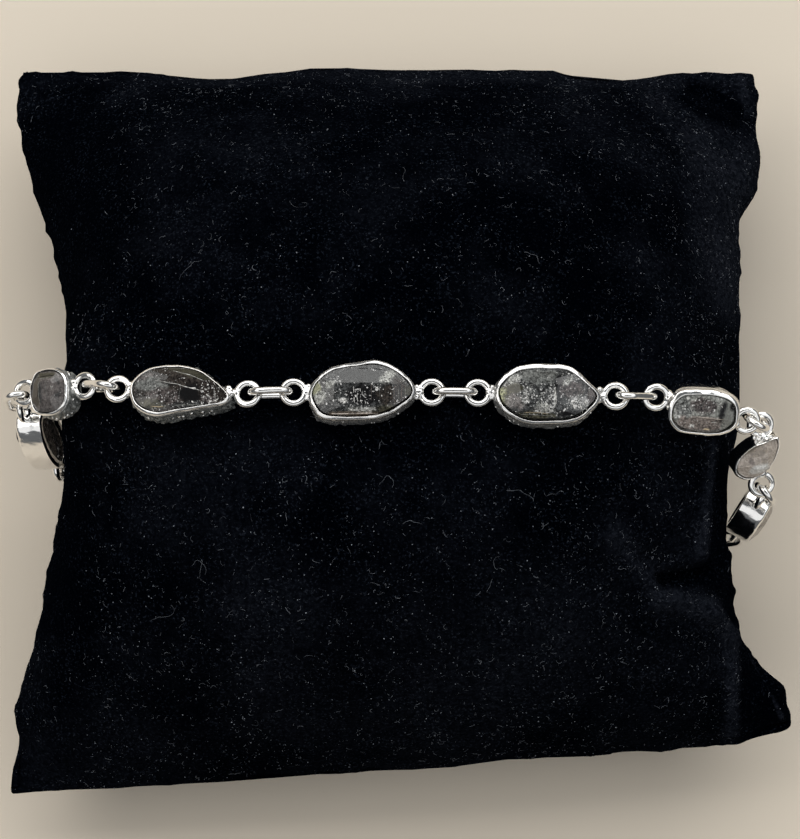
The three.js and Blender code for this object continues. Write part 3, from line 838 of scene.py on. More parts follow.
def cut_chips(block, habit, rng, half_length, top):
    """Small breaks along the two long edges. One that would take the whole top face is left out."""
    for _ in range(int(habit["chips"])):
        x = rng.uniform(-0.7, 0.7) * half_length
        side = rng.choice((-1, 1))
        ridge = habit["far"] if side > 0 else habit["near"]
        tilt = Vector((rng.uniform(-0.35, 0.35), side * rng.uniform(0.15, 0.5), 1))
        start = Vector((x, ridge - side * rng.uniform(0.05, 0.3), top - 0.02))
        reach = Vector((x - copysign(rng.uniform(0.3, 0.9), tilt.x), ridge - side * 0.1, top))
        if tilt.dot(reach - start) >= 0.05:
            cut(block, start, tilt)


# %% The cut crystal
rim_clearance = 0.08
crystal_steps = 44


def crystal_block(row, habit):
    """A crystal in its cup: foot on the ledge, shoulders under the rim, top face over it."""
    rng = random.Random(int(habit["seed"]))
    inset = row["rim"] * (1 + row["wider"] * 0.5) + rim_clearance
    half_length, half_width = row["length"] / 2 - inset, row["width"] / 2 - inset
    top, shoulder = half_height + habit["dome"], half_height - 0.1
    foot = ledge_thickness - half_height + 0.1
    outline = outline_of(row, crystal_steps)
    block = blank(outline, half_length, half_width, foot, top + 0.3)
    lean, pitch = radians(habit["lean"]), radians(habit["pitch"])
    cut(block, Vector((0, 0, top)), Vector((sin(pitch), -sin(lean), cos(lean))))
    drop = top - shoulder
    for ridge, side in ((habit["far"], 1), (habit["near"], -1)):
        cut(block, Vector((0, ridge, top)), Vector((0, side * drop, half_width - abs(ridge))))
    cut_points(block, habit, rng, half_length, top, drop)
    cut_chips(block, habit, rng, half_length, top)
    bmesh.ops.remove_doubles(block, verts=block.verts, dist=0.01)
    bmesh.ops.recalc_face_normals(block, faces=block.faces)
    return block


# %% [markdown]
# ## What shows inside the quartz
# Clear quartz over a dark ground looks nearly black. What one sees of it are its flaws: clouds of tiny
# bubbles, healed cracks that flash, brown and yellow stains of iron, and the straight lines where faces
# meet. A real volume of bubbles renders slowly and comes out blurred, so here they're a skin: every
# point of a crystal stores a tint, how hazy it is and how thickly it is strewn with flashing cracks.
# The table below says where the middle of each patch lies on its crystal, half its length and width,
# all in millimetres, and its slant in degrees. A later patch covers an earlier one. The long ink patch
# along the near edge of the fourth crystal is painted shadow, not a flaw.

# %% Tones
# Ink is the darkest tone: dark flaws, and in one patch of the fourth crystal a painted shadow.
TONES = {
    "pale": (0.66, 0.65, 0.62), "milk": (0.25, 0.255, 0.235), "ash": (0.12, 0.124, 0.118),
    "slate": (0.05, 0.052, 0.052), "plum": (0.062, 0.053, 0.051), "mauve": (0.12, 0.108, 0.104),
    "rose": (0.21, 0.178, 0.16), "olive": (0.056, 0.053, 0.036), "moss": (0.22, 0.225, 0.125),
    "blush": (0.52, 0.455, 0.395), "gold": (0.5, 0.4, 0.26), "bronze": (0.11, 0.085, 0.06),
    "fawn": (0.32, 0.275, 0.23), "umber": (0.024, 0.02, 0.017), "ink": (0.006, 0.0055, 0.006),
}
print(len(TONES), "tones, from", min(TONES, key=TONES.get), "to", max(TONES, key=TONES.get))

# %% Patches in the crystals
PATCHES = read_table("""
crystal x    y    long wide turn tone   haze spark
1       -1.2 0    0.6  1.5  0    umber  0.9  0.0
1       -0.5 -0.2 0.2  1.2  0    slate  0.8  0.0
1       1.2  0    0.3  1.0  0    slate  0.8  0.0
1       0.5  0.1  0.9  1.2  0    mauve  0.9  0.01
1       -0.2 1.6  1.2  0.3  0    olive  0.9  0.0
2       -3.4 0.7  0.8  0.6  20   mauve  0.8  0.02
2       -2.7 0.3  1.6  0.8  5    ash    0.8  0.02
2       -1.5 -0.8 1.6  0.8  0    plum   0.8  0.05
2       -0.2 1.0  2.2  0.7  -8   umber  0.8  0.03
2       0.7  1.75 2.8  0.35 -14  olive  0.8  0.0
2       1.2  -0.5 1.2  0.9  0    ink    0.95 0.0
2       3.1  0.0  1.0  1.0  0    umber  0.7  0.1
2       3.0  -0.8 0.7  0.35 0    mauve  0.5  0.25
2       -2.6 -1.6 1.3  0.4  0    olive  0.85 0.02
2       1.2  -1.4 1.8  0.3  8    slate  0.6  0.08
3       -0.2 1.3  2.7  0.65 0    slate  0.9  0.0
3       -3.0 0.2  1.3  1.5  0    slate  0.75 0.07
3       -3.1 0.5  0.5  0.3  20   milk   0.9  0.12
3       -4.5 0.15 0.4  0.65 0    moss   0.9  0.0
3       -4.1 -0.8 0.5  0.6  -30  milk   0.8  0.06
3       0.4  -0.6 1.9  1.05 0    ink    0.85 0.05
3       -0.5 -0.6 0.5  0.9  0    ink    0.9  0.12
3       0.2  -1.1 0.4  0.5  0    ink    0.9  0.1
3       1.45 0.0  0.25 0.18 -40  slate  0.8  0.4
3       2.6  -0.6 1.1  1.1  0    umber  0.85 0.05
3       2.5  1.3  0.9  0.55 35   milk   0.8  0.06
3       3.6  0.0  0.8  1.3  0    umber  0.8  0.03
3       4.4  -0.1 0.5  0.5  0    olive  0.8  0.0
3       -0.1 -2.0 1.5  0.25 0    milk   0.9  0.35
3       2.2  -1.9 1.0  0.3  5    olive  0.9  0.02
3       -0.4 -2.4 3.0  0.25 0    bronze 0.9  0.0
3       -1.8 -1.2 0.35 0.2  0    pale   0.9  0.2
4       -4.1 -0.5 0.7  1.0  0    olive  0.85 0.08
4       -4.4 -0.3 0.35 0.8  0    moss   0.8  0.05
4       -3.2 0.4  0.7  0.45 0    olive  0.9  0.0
4       -3.0 -1.0 0.9  0.7  0    mauve  0.85 0.02
4       -1.1 1.6  1.9  0.8  0    ash    0.9  0.02
4       -3.3 1.3  0.6  0.4  35   milk   0.8  0.18
4       -0.2 -0.2 1.1  0.9  0    slate  0.75 0.18
4       -2.1 -0.4 0.4  1.0  -15  ash    0.7  0.28
4       0.62 -0.5 0.14 0.8  0    milk   0.8  0.5
4       -0.4 -1.6 0.9  0.5  0    milk   0.6  0.5
4       1.05 0.8  0.35 1.1  0    ink    0.8  0.0
4       2.3  0.5  1.3  0.9  0    plum   0.85 0.04
4       1.8  1.1  0.6  0.25 40   milk   0.7  0.1
4       3.1  -0.8 1.0  0.7  15   ash    0.6  0.55
4       2.2  -1.9 1.3  0.25 8    ink    0.95 0.0
4       -1.2 -2.2 1.9  0.28 0    olive  0.85 0.05
4       4.2  0.1  0.5  0.9  0    plum   0.8  0.03
5       -2.2 0.6  0.9  1.2  0    ash    0.85 0.05
5       0.0  0.75 1.5  0.75 0    plum   0.9  0.05
5       -0.3 -1.0 2.4  0.8  0    rose   0.9  0.02
5       1.75 0.35 0.36 0.9  -14  ink    1.0  0.0
5       2.4  0.0  0.45 1.1  0    milk   0.95 0.0
5       3.0  0.9  0.5  0.5  0    ink    1.0  0.02
5       3.2  0.0  0.25 1.2  0    ink    1.0  0.0
5       -1.1 -1.3 0.3  0.12 0    pale   0.9  0.03
5       0.4  -1.6 0.3  0.12 0    gold   0.9  0.03
5       -1.7 1.4  0.16 0.14 0    pale   0.9  0.0
5       -2.8 -0.2 0.3  0.5  0    milk   0.8  0.2
6       0.9  0.2  0.5  1.0  20   pale   0.9  0.0
6       -0.9 -0.2 0.5  0.9  20   fawn   0.9  0.0
6       0.1  0.5  0.35 0.3  0    fawn   0.9  0.0
6       0.2  -0.7 0.4  0.25 30   rose   0.9  0.0
7       0.0  0.8  2.0  0.5  0    rose   0.8  0.02
""")


def within(patch, place):
    """A place in a patch's own frame, along and across it. 1 is the patch's edge."""
    turn = radians(patch["turn"])
    x, y = place.x - patch["x"], place.y - patch["y"]
    along = (x * cos(turn) + y * sin(turn)) / patch["long"]
    across = (y * cos(turn) - x * sin(turn)) / patch["wide"]
    return along, across


def ease(value, low, high):
    """Rises smoothly from 0 at low to 1 at high."""
    share = clamp((value - low) / (high - low))
    return share * share * (3 - 2 * share)


# %% Looks at a place
def patch_share(patch, place):
    """How much of a patch shows at a place: 1 inside, 0 outside, with a ragged edge."""
    ragged = noise.noise(place * 1.6 + Vector((patch["x"] * 9, 0, 0))) * 0.4
    return ease(1.2 - hypot(*within(patch, place)) - ragged, 0, 0.4)


def looks_at(number, place):
    """Tint, haze and flashes at a place on a crystal."""
    habit = CRYSTALS[number]
    tint, haze, spark = Vector(TONES[habit["tone"]]), habit["haze"], habit["spark"]
    for patch in PATCHES:
        if int(patch["crystal"]) == number + 1:
            share = patch_share(patch, place)
            tint = tint.lerp(Vector(TONES[patch["tone"]]), share)
            haze += (patch["haze"] - haze) * share
            spark += (patch["spark"] - spark) * share
    return tint, haze, spark


def paint(mesh, looks):
    """Stores the looks of each point on the mesh."""
    store(mesh, "tint", [value for tint, _, _ in looks for value in (*tint, 1.0)], "FLOAT_COLOR", "color")
    store(mesh, "haze", [haze for _, haze, _ in looks])
    store(mesh, "spark", [spark for _, _, spark in looks])


# %% [markdown]
# ## Room for the patches
# A flat face of a cut crystal has points only at its corners, and what a mesh stores on its points is
# blended between them. So each face is divided until its edges are short enough to show the smallest
# patch. That changes nothing of its shape. A texture would need no division, but it would have to be
# painted on another surface and unwrapped.

# %% Finer triangles
finest_edge = 0.3


def refined(block, longest):
    """Halves long edges until none is left."""
    bmesh.ops.triangulate(block, faces=block.faces)
    while True:
        long_edges = [e for e in block.edges if e.calc_length() > longest]
        if not long_edges:
            return
        bmesh.ops.subdivide_edges(block, edges=long_edges, cuts=1)
        bmesh.ops.triangulate(block, faces=[f for f in block.faces if len(f.verts) > 3])


# %% [markdown]
# ## The quartz itself
# Clear quartz bends light less than most gems, with an index of 1.54. Where a crystal is clear the light
# goes through it. Where it is hazy it scatters at once, and the more so where the grain is dense. Cells
# of two Voronoi patterns stand for the tiny crack faces: each cell has its own random number, and
# flashes white if that number is high enough for the place. The flashes are painted glints: white in the
# base colour, they give the cracks their whiteness and also stand for the light that the cracks catch.
# So one material serves all the crystals, and what differs between them is in their points.

# %% Quartz
crack_and_glint_white = (0.85, 0.84, 0.82)
quartz, tree, shader = shader_of("rock_crystal", (0.8, 0.8, 0.8), 0.04)
shader.inputs["IOR"].default_value = 1.54
tint = attribute(tree, "tint", "Color")
haze = attribute(tree, "haze", "Fac")
spark = attribute(tree, "spark", "Fac")
grain = noise_of(tree, 4.0, 7, 0.8)
large_cells, facet, dome = cells(tree, 6.5)
small_cells, _, _ = cells(tree, 12.0)
# Dust: the tint, broken up by grain where there are cracks, and each facet a little apart in tone.
busy = stretch(tree, spark, 0.0, 0.03)
shade = calc(tree, "MULTIPLY", stretch(tree, grain, 0.42, 0.6, 0.12, 2.4), busy)
shade = calc(tree, "ADD", shade, stretch(tree, busy, 0.0, 1.0, 0.9, 0.0))
shade = calc(tree, "MULTIPLY", shade, stretch(tree, facet, 0.0, 1.0, 0.75, 1.25))
dust = mixed(tree, 1.0, tint, shade, "MULTIPLY")
# Flashes: painted glints, white in the base colour, which also give the cracks their whiteness: the cells
# whose numbers pass a limit, which falls where cracks are thick.
limit = calc(tree, "SUBTRACT", 1.0, calc(tree, "MULTIPLY", spark, 0.7))
large = calc(tree, "GREATER_THAN", large_cells, calc(tree, "ADD", limit, 0.01))
small = calc(tree, "GREATER_THAN", small_cells, limit)
dimmed = stretch(tree, grain, 0.42, 0.58, 0.1, 1.0)
flashes = calc(tree, "MULTIPLY", calc(tree, "MAXIMUM", large, small), dimmed)
tree.links.new(mixed(tree, flashes, dust, crack_and_glint_white), shader.inputs["Base Color"])
# Clearness: what neither haze nor a flash covers.
cover = calc(tree, "MULTIPLY", haze, stretch(tree, grain, 0.3, 0.55, 0.7, 1.2))
clear = calc(tree, "SUBTRACT", 1.0, calc(tree, "MAXIMUM", cover, flashes))
clear.node.use_clamp = True
tree.links.new(clear, shader.inputs["Transmission Weight"])
tree.links.new(bump(tree, grain, 0.005, bump(tree, dome, 0.006)), shader.inputs["Normal"])
print("quartz of", len(tree.nodes), "nodes")

# %% [markdown]
# ## Lines in the crystals
# The straight marks in a crystal are healed cracks, edges of faces underneath and needles of other
# minerals. A texture can't place one line, so each is a sliver of its own, as thin as a hair, laid on
# its crystal's faces. The slivers of a crystal are one mesh. Each row gives a line's two ends and its
# width, in millimetres.

# %% Where the lines run
LINES = read_table("""
crystal x     y     to_x  to_y  wide  tone
1       -0.75 1.0   -0.6  -1.0  0.04  milk
1       0.1   1.1   0.3   -1.0  0.03  ash
1       0.75  0.4   0.8   0.0   0.07  pale
1       -1.2  1.5   0.9   1.45  0.05  ink
1       -1.2  1.3   0.9   1.25  0.03  milk
2       -2.4  0.7   0.0   0.4   0.045 pale
2       -0.1  0.4   2.2   0.02  0.06  pale
2       1.2   0.2   1.7   0.12  0.09  pale
2       -0.8  1.85  2.4   1.0   0.05  pale
2       -3.4  1.5   -2.6  0.9   0.045 milk
2       3.3   0.6   3.6   -0.7  0.06  pale
2       3.4   -1.05 3.95  -0.6  0.07  pale
2       0.15  0.1   0.1   -1.3  0.03  ash
2       2.7   -0.3  3.1   -0.6  0.08  pale
2       -2.7  -1.85 -1.3  -1.8  0.06  gold
2       -0.4  -1.65 2.9   -1.3  0.05  milk
2       1.3   -1.1  1.55  -1.25 0.12  pale
3       -3.0  -2.34 2.2   -2.28 0.12  blush
3       -2.6  -2.15 1.4   -2.12 0.04  bronze
3       -0.4  2.13  0.5   2.13  0.09  ink
3       1.1   2.06  1.9   2.0   0.08  ink
3       -0.88 0.25  -0.82 -0.35 0.09  pale
3       -0.78 -0.8  -0.75 -1.4  0.08  pale
3       -0.53 -0.5  -0.5  -1.3  0.06  pale
3       -0.2  0.05  -0.15 -0.3  0.07  pale
3       0.0   -0.2  0.08  -0.6  0.06  milk
3       -0.2  -1.1  0.0   -1.5  0.06  pale
3       0.25  -1.1  0.35  -1.5  0.06  pale
3       -1.3  -1.98 -0.3  -2.02 0.14  pale
3       0.1   -1.92 0.5   -1.95 0.16  pale
3       0.7   -1.95 1.3   -2.0  0.16  pale
3       0.83  0.5   0.86  -1.2  0.035 rose
3       1.65  0.4   1.65  -1.6  0.025 ash
3       1.37  0.15  1.42  0.0   0.14  pale
3       1.55  0.0   1.65  -0.12 0.12  pale
3       2.65  -0.45 2.75  -0.55 0.1   pale
3       1.85  -0.6  1.9   -0.8  0.08  pale
3       -3.85 -1.3  -3.7  -1.4  0.1   pale
3       -3.75 1.0   -3.5  0.7   0.09  ink
3       3.1   0.2   3.1   -1.8  0.04  rose
3       3.45  0.1   3.45  -1.7  0.045 milk
3       3.77  0.3   3.75  -1.4  0.04  rose
3       4.1   0.2   4.08  -1.0  0.04  milk
3       2.8   1.5   4.5   0.3   0.045 milk
3       3.0   1.1   4.3   0.1   0.035 rose
4       -0.9  1.95  0.6   1.95  0.07  ink
4       -0.9  1.78  0.6   1.8   0.035 milk
4       -1.24 2.0   -1.22 0.85  0.03  ash
4       0.62  0.45  0.75  -1.1  0.1   pale
4       0.47  1.5   0.5   0.7   0.035 milk
4       -0.6  -0.85 -0.75 -2.0  0.06  pale
4       -0.85 -0.8  -1.2  -1.4  0.05  milk
4       -0.25 -1.1  -0.2  -2.0  0.07  pale
4       0.1   -1.3  0.2   -2.0  0.07  pale
4       -0.45 0.0   -1.0  -0.6  0.05  milk
4       1.4   0.9   2.1   1.55  0.05  milk
4       2.3   -0.9  2.7   -0.75 0.07  pale
4       2.35  -1.0  2.65  -1.6  0.07  pale
4       3.1   -1.1  3.4   -1.8  0.07  pale
4       3.55  -0.7  3.8   -1.55 0.11  pale
4       3.1   0.4   2.9   -0.6  0.05  milk
4       3.6   0.6   3.3   -0.2  0.05  milk
4       4.1   0.7   3.9   -0.3  0.05  milk
4       -2.6  -2.1  0.3   -2.2  0.03  milk
4       -2.3  -1.95 0.1   -2.02 0.03  gold
4       -2.2  0.2   -1.8  -1.1  0.04  pale
4       -2.0  0.5   -1.2  0.9   0.04  milk
5       -1.6  0.7   -1.1  -0.25 0.05  pale
5       -1.1  -0.25 1.9   -0.4  0.05  blush
5       -0.45 0.7   0.1   1.6   0.035 milk
5       -2.9  0.25  -2.6  -0.2  0.07  pale
5       0.7   -0.8  1.2   -0.7  0.06  pale
5       1.35  1.0   1.6   1.2   0.06  pale
5       -2.6  0.9   -1.9  0.2   0.04  milk
5       -0.2  1.5   0.0   0.6   0.03  ash
5       1.5   0.9   1.75  0.7   0.05  pale
""")
print(len(LINES), "lines and", len(PATCHES), "patches in", len(CRYSTALS), "crystals")

# %% One sliver
sliver_gain = 1.25
sliver_step, sliver_bend, sliver_lift = 0.25, 0.08, 0.03


def height_on(faces, place):
    """How high a crystal's surface is over a place."""
    hit = faces.ray_cast(Vector((place.x, place.y, 9)), Vector((0, 0, -1)))[0]
    return 1.0 if hit is None else hit.z


def sliver(line, crystal_faces):
    """A tapered hair from (x, y) to (to_x, to_y) on a crystal's faces."""
    start, end = Vector((line["x"], line["y"], 0)), Vector((line["to_x"], line["to_y"], 0))
    along = (end - start).normalized()
    across = Vector((-along.y, along.x, 0))
    steps = max(3, round((end - start).length / sliver_step))
    rings = []
    for k in range(steps + 1):
        share = k / steps
        bent = noise.noise(Vector((share * 2.5, line["x"] * 3, line["y"] * 5))) * sliver_bend
        middle = start.lerp(end, share) + across * bent
        taper = 0.35 + 0.65 * sin(pi * share) ** 0.5
        half = line["wide"] * sliver_gain / 2 * taper * (1 + noise.noise(middle * 4))
        middle.z = height_on(crystal_faces, middle) + sliver_lift
        thick = Vector((0, 0, half * 0.3))
        rings.append([middle - across * half, middle - thick, middle + across * half, middle + thick])
    return skin(rings)


hairline, tree, shader = shader_of("crystal_line", (0.6, 0.6, 0.6), 0.25)
streaks = stretch(tree, noise_of(tree, 3.0, 3), 0.35, 0.6, 0.3, 1.3)
streaked = mixed(tree, 1.0, attribute(tree, "tint", "Color"), streaks, "MULTIPLY")
tree.links.new(streaked, shader.inputs["Base Color"])
tree.links.new(stretch(tree, noise_of(tree, 5, 2), 0.3, 0.7, 0.1, 0.45), shader.inputs["Roughness"])

# %% Set the crystals
for i, (row, habit) in enumerate(zip(SETTINGS, CRYSTALS)):
    block = crystal_block(row, habit)
    crystal_faces = BVHTree.FromBMesh(block)
    refined(block, finest_edge)
    stone_mesh = bpy.data.meshes.new("stone")
    block.to_mesh(stone_mesh)
    block.free()
    stone_mesh.materials.append(quartz)
    paint(stone_mesh, [looks_at(i, v.co) for v in stone_mesh.vertices])
    stone = put(f"stone_{i + 1}", stone_mesh, places[i], [f"crystal_{i + 1}"])
    print(stone.name, len(stone_mesh.polygons), "faces, departs", misfit(stone, f"crystal_{i + 1}"), "mm")
    own_lines = [line for line in LINES if int(line["crystal"]) == i + 1]
    if own_lines:
        slivers = [sliver(line, crystal_faces) for line in own_lines]
        marks = mesh_of("marks", slivers, hairline)
        tints = [TONES[line["tone"]] for line, part in zip(own_lines, slivers) for _ in part[0]]
        paint(marks, [(tint, 1.0, 0.0) for tint in tints])
        put(f"marks_{i + 1}", marks, places[i], [])

# %% [markdown]
# ## The velvet cushion
# A display cushion is two squares of velvet sewn together and stuffed with fibre. Its faces crown, its
# sides pull in, its corners stand out as ears, and the bracelet presses a shallow channel round its
# waist. The plain solid has that form already, in few facets. Cloth simulation could swell it, but this
# cushion is stuffed hard and its few folds are known one by one. So a subdivision surface rounds the
# solid's own faces, and the folds are pressed in afterwards. Where two faces meet sharply there is a
# seam, and a crease weight keeps it crisp.

# %% The cushion's skin
weld = 0.01 * mm
seam_angle, seam_span, sharpest_crease = 0.9, 1.2, 0.85
cushion_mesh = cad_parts["cushion"].data.copy()
cushion_mesh.materials.clear()
weave = bmesh.new()
weave.from_mesh(cushion_mesh)
bmesh.ops.remove_doubles(weave, verts=weave.verts, dist=weld)
bmesh.ops.join_triangles(weave, faces=weave.faces, angle_face_threshold=pi, angle_shape_threshold=pi)
crease = weave.edges.layers.float.new("crease_edge")
for edge in weave.edges:
    if len(edge.link_faces) == 2:
        edge[crease] = clamp((edge.calc_face_angle() - seam_angle) / seam_span) * sharpest_crease
bmesh.ops.recalc_face_normals(weave, faces=weave.faces)
weave.to_mesh(cushion_mesh)
print("cushion of", len(weave.faces), "faces,", sum(len(f.verts) == 4 for f in weave.faces), "of them quads")
weave.free()

# %% Round it
cushion = new_object("velvet_cushion", cushion_mesh)
finer = cushion.modifiers.new("finer", "SUBSURF")
finer.levels = finer.render_levels = 3
evaluated = cushion.evaluated_get(bpy.context.evaluated_depsgraph_get())
cushion_mesh = bpy.data.meshes.new_from_object(evaluated)
cushion.modifiers.clear()
cushion.data = cushion_mesh
print("cushion skin of", len(cushion_mesh.polygons), "faces")

# %% [markdown]
# ## Folds
# A hard cushion folds only where the stuffing is slack: at its ears, and beside the place where the
# bracelet pulls the cloth in. Each row below is one straight stroke, seen from above in millimetres.
# Depth is how far the skin is pressed in along it, and a negative depth is a raised welt or a bulge.
# Nap, the last column, is how the pile lies there together with painted light and shade: above 0 the
# velvet is painted greyer, as lit where the pile stands up on a welt or a crest, and below 0 it is
# painted darker, as shade where the pile lies flat on a flank or in a hollow. Two or three strokes side
# by side make one fold, with its welt, its hollow and the painted shade on its flank.
#
# All along the seams the cloth puckers, because the thread pulls it in. Smooth noise does that part.

# %% Strokes of the folds
FOLDS = read_table("""
x     y     to_x  to_y  wide depth nap
31.0  -5.5  29.9  -15.5 0.8  -0.4  2.0
32.6  -6.0  32.0  -16.8 1.1  0.5   -3.5
34.0  -9.0  33.8  -15.0 1.5  -0.4  -2.0
33.8  -17.0 34.0  -20.0 1.8  0.5   -1.0
30.6  -17.3 26.0  -18.5 0.7  1.9   -2.2
26.5  -18.7 22.3  -15.6 0.9  0.8   0.0
21.2  -14.5 26.0  -19.8 1.5  -0.4  1.5
26.0  -20.1 31.0  -20.9 1.2  -0.7  2.4
31.0  -20.9 33.4  -23.0 1.1  -0.6  2.0
33.4  -23.0 34.0  -32.5 0.9  -0.4  2.2
36.8  -25.5 37.4  -33.0 1.8  0.5   -2.0
36.2  -25.2 39.2  -30.8 0.4  -0.4  3.8
31.5  36.6  36.4  33.6  1.2  0.9   -0.9
36.8  37.5  37.4  34.0  0.8  -0.4  1.2
-38.6 29.0  -37.6 24.5  3.0  -0.5  0.0
-40.8 34.4  -40.8 33.4  2.0  -0.5  0.0
-39.2 -27.0 -39.4 -30.0 2.0  -0.5  0.0
-39.5 -34.5 -39.8 -38.0 2.5  0.7   0.0
37.5  28.5  36.8  25.5  2.4  -0.9  0.9
36.4  21.5  36.2  20.0  1.6  0.5   0.0
33.8  17.0  33.6  10.0  1.8  -0.2  1.2
37.2  -24.6 38.6  -28.1 2.2  -1.5  0.0
40.6  -32.0 39.0  -32.8 1.2  1.0   0.0
24.5  38.4  20.0  38.4  4.0  0.9   0.2
-22.0 38.4  -17.0 38.4  4.0  0.8   0.2
""")


def across_line(spot, line):
    """Distance of a spot from a straight line seen from above, in the line's own widths."""
    start, end = Vector((line["x"], line["y"])), Vector((line["to_x"], line["to_y"]))
    along = end - start
    share = clamp((spot - start).dot(along) / along.length_squared)
    return (spot - start - along * share).length / line["wide"]


def fades(spot, line):
    """1 on the line, a half at 0.7 of its width, 0 far off."""
    return 0.5 ** (across_line(spot.xy, line) ** 2 * 2)


# %% Press the folds in
channel_y, channel_half, channel_clear = -0.8, 6, 12


def folded(spot, normal):
    """How far the skin gives at a spot, in mm: creases, and puckers along the seams."""
    pressed = sum(line["depth"] * fades(spot, line) for line in FOLDS) * ease(normal.z, -0.8, -0.1)
    seam = 1 - min(abs(normal.z) / 0.7, 1)
    pucker = noise.noise(spot * 0.33) * 0.4 + noise.noise(spot * 0.9) * 0.22
    off_the_channel = ease(abs(spot.y - channel_y), channel_half, channel_clear)
    off_the_table = ease(spot.z, 1, 5)
    return (pucker * (0.25 + seam) - pressed) * off_the_channel * off_the_table


shifts = [v.normal * folded(v.co / mm, v.normal) * mm for v in cushion_mesh.vertices]
for vertex, shift in zip(cushion_mesh.vertices, shifts):
    vertex.co += shift
print("deepest fold", round(max(s.length for s in shifts) / mm, 2), "mm")

# %% [markdown]
# ## Brushed nap and painted light and shade
# Velvet looks black where its pile points at the eye and greyish blue where a hand or a fold has brushed
# it aside. The same number also paints light and shade into the velvet's colour: greyer along the top
# seam, the right-hand crest and the folds, where light would catch, and darker as painted shade on the
# sides, on an ear and beside the bracelet. These places are large and soft, so a few oval patches say
# where they are. Each point of the skin stores the sum of the strokes and patches over it, as the
# crystals store their haze.

# %% Where the nap is brushed and light and shade are painted
NAP_AND_PAINTED_LIGHT = read_table("""
x     y     long wide turn share
33.0  21.0  14   5    90   1.4
30.0  30.0  7    3    130  0.8
33.0  33.5  4.0  2.0  150  -0.8
-36.0 -35.0 7.0  4.0  0    0.3
0.0   -26.0 36   11   0    0.5
0.0   37.5  42   2.5  0    0.8
37.6  -29.5 5.0  2.6  100  -1.6
27.0  -12.0 8.0  4.0  100  0.7
-35.0 22.0  16   8.0  90   -0.8
-34.0 -18.0 22   4.5  90   -0.5
0.0   -0.8  40   7.0  0    -0.4
0.0   17.0  34   22   0    -0.2
""")


def nap_and_painted_light_at(spot):
    """How much lighter the velvet is painted, from the lie of the pile and from painted light and shade: 0
    as woven, above 0 greyer, below 0 darker.
    """
    total = sum(line["nap"] * fades(spot, line) for line in FOLDS)
    for patch in NAP_AND_PAINTED_LIGHT:
        along, across = within(patch, spot)
        total += patch["share"] * max(1 - along * along - across * across, 0)
    return total


naps_and_painted_light = [nap_and_painted_light_at(v.co / mm) for v in cushion_mesh.vertices]
store(cushion_mesh, "nap", naps_and_painted_light)
print("nap from", round(min(naps_and_painted_light), 2), "to", round(max(naps_and_painted_light), 2))

# %% [markdown]
# ## Velvet
# The base colour does most of the work, because the cloth reflects hardly one part in a hundred.
# A fine noise stands for the tufts: its peaks are flecks that catch the light, between darker gaps.
# Broader noises and the stored nap, which holds painted light and shade, decide how bright both are.
# A trace of bluish sheen brightens the cloth where it turns away, and the bump of the tufts breaks its
# outline of light.

# %% Velvet
# Each colour comes in a dark copy and a lighter copy; the lighter copies show where the pile is brushed up
# and where light is painted on.
black_gap, grey_gap = (0.0001, 0.0004, 0.0012), (0.0087, 0.0105, 0.0152)
dim_tuft, lit_tuft = (0.012, 0.016, 0.024), (0.034, 0.038, 0.05)
velvet, tree, shader = shader_of("black_velvet", (0.004, 0.004, 0.006), 0.9)
shader.inputs["Sheen Weight"].default_value = 0.004
shader.inputs["Sheen Roughness"].default_value = 0.4
shader.inputs["Sheen Tint"].default_value = (0.6, 0.7, 1.0, 1)
shader.inputs["Specular IOR Level"].default_value = 0.0
pile = noise_of(tree, 3.8, 4, 0.65)
drifts = stretch(tree, noise_of(tree, 0.3, 2), 0.4, 0.6, 0.3, 1.0)
brushed = noise_of(tree, 0.09, 3, 0.6)
# Painted light and shade: the stored nap makes the velvet greyer on welts, crests and the top seam and
# darker on flanks, sides and beside the bracelet.
nap = calc(tree, "MULTIPLY", attribute(tree, "nap", "Fac"), 0.35)
lie_and_painted_light = stretch(tree, calc(tree, "ADD", brushed, nap), 0.4, 1.15)
clumps = stretch(tree, noise_of(tree, 1.9, 4, 0.75), 0.4, 0.62, 0.35, 1.35)
gaps = mixed(tree, calc(tree, "MULTIPLY", lie_and_painted_light, clumps), black_gap, grey_gap)
tufts = mixed(tree, lie_and_painted_light, dim_tuft, lit_tuft)
flecks = calc(tree, "MULTIPLY", stretch(tree, pile, 0.56, 0.69), drifts)
tree.links.new(mixed(tree, flecks, gaps, tufts), shader.inputs["Base Color"])
tree.links.new(bump(tree, pile, 0.2), shader.inputs["Normal"])
cushion_mesh.materials.append(velvet)
cushion_mesh.shade_smooth()
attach(cushion, "root")
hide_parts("cushion")
print("velvet of", len(tree.nodes), "nodes")

# %% [markdown]
# ## Lint
# Black velvet shows every speck. Fluff and short curled fibres cling all over it, and without them
# the cloth looks like rubber. They could be dots in the texture, but a fibre has a shape and lies
# on top of the pile, so each is a tiny mesh, scattered by area over the whole skin. Sizes come from a
# random number raised to a power, because most specks are tiny and only a few are large.

# %% Where lint clings
flat_enough = 0.85
seam_x, seam_y, channel_edge = 34, 33, 8
rng = random.Random(52)
shown = [p for p in cushion_mesh.polygons if p.normal.z > 0.05]
quads = [[cushion_mesh.vertices[k].co / mm for k in p.vertices] for p in shown]


def linty(face):
    """How much lint a face holds: more in drifts, less where the stored nap is below 0, where the pile is
    brushed flat and shade is painted.
    """
    middle = face.center / mm
    drift = max(0.5 + noise.noise(middle * 0.22) * 0.9 + noise.noise(middle * 0.8) * 0.8, 0.08)
    return face.area * drift ** 0.8 * max(0.6 + min(naps_and_painted_light[face.vertices[0]], 0) * 1.2, 0.02)


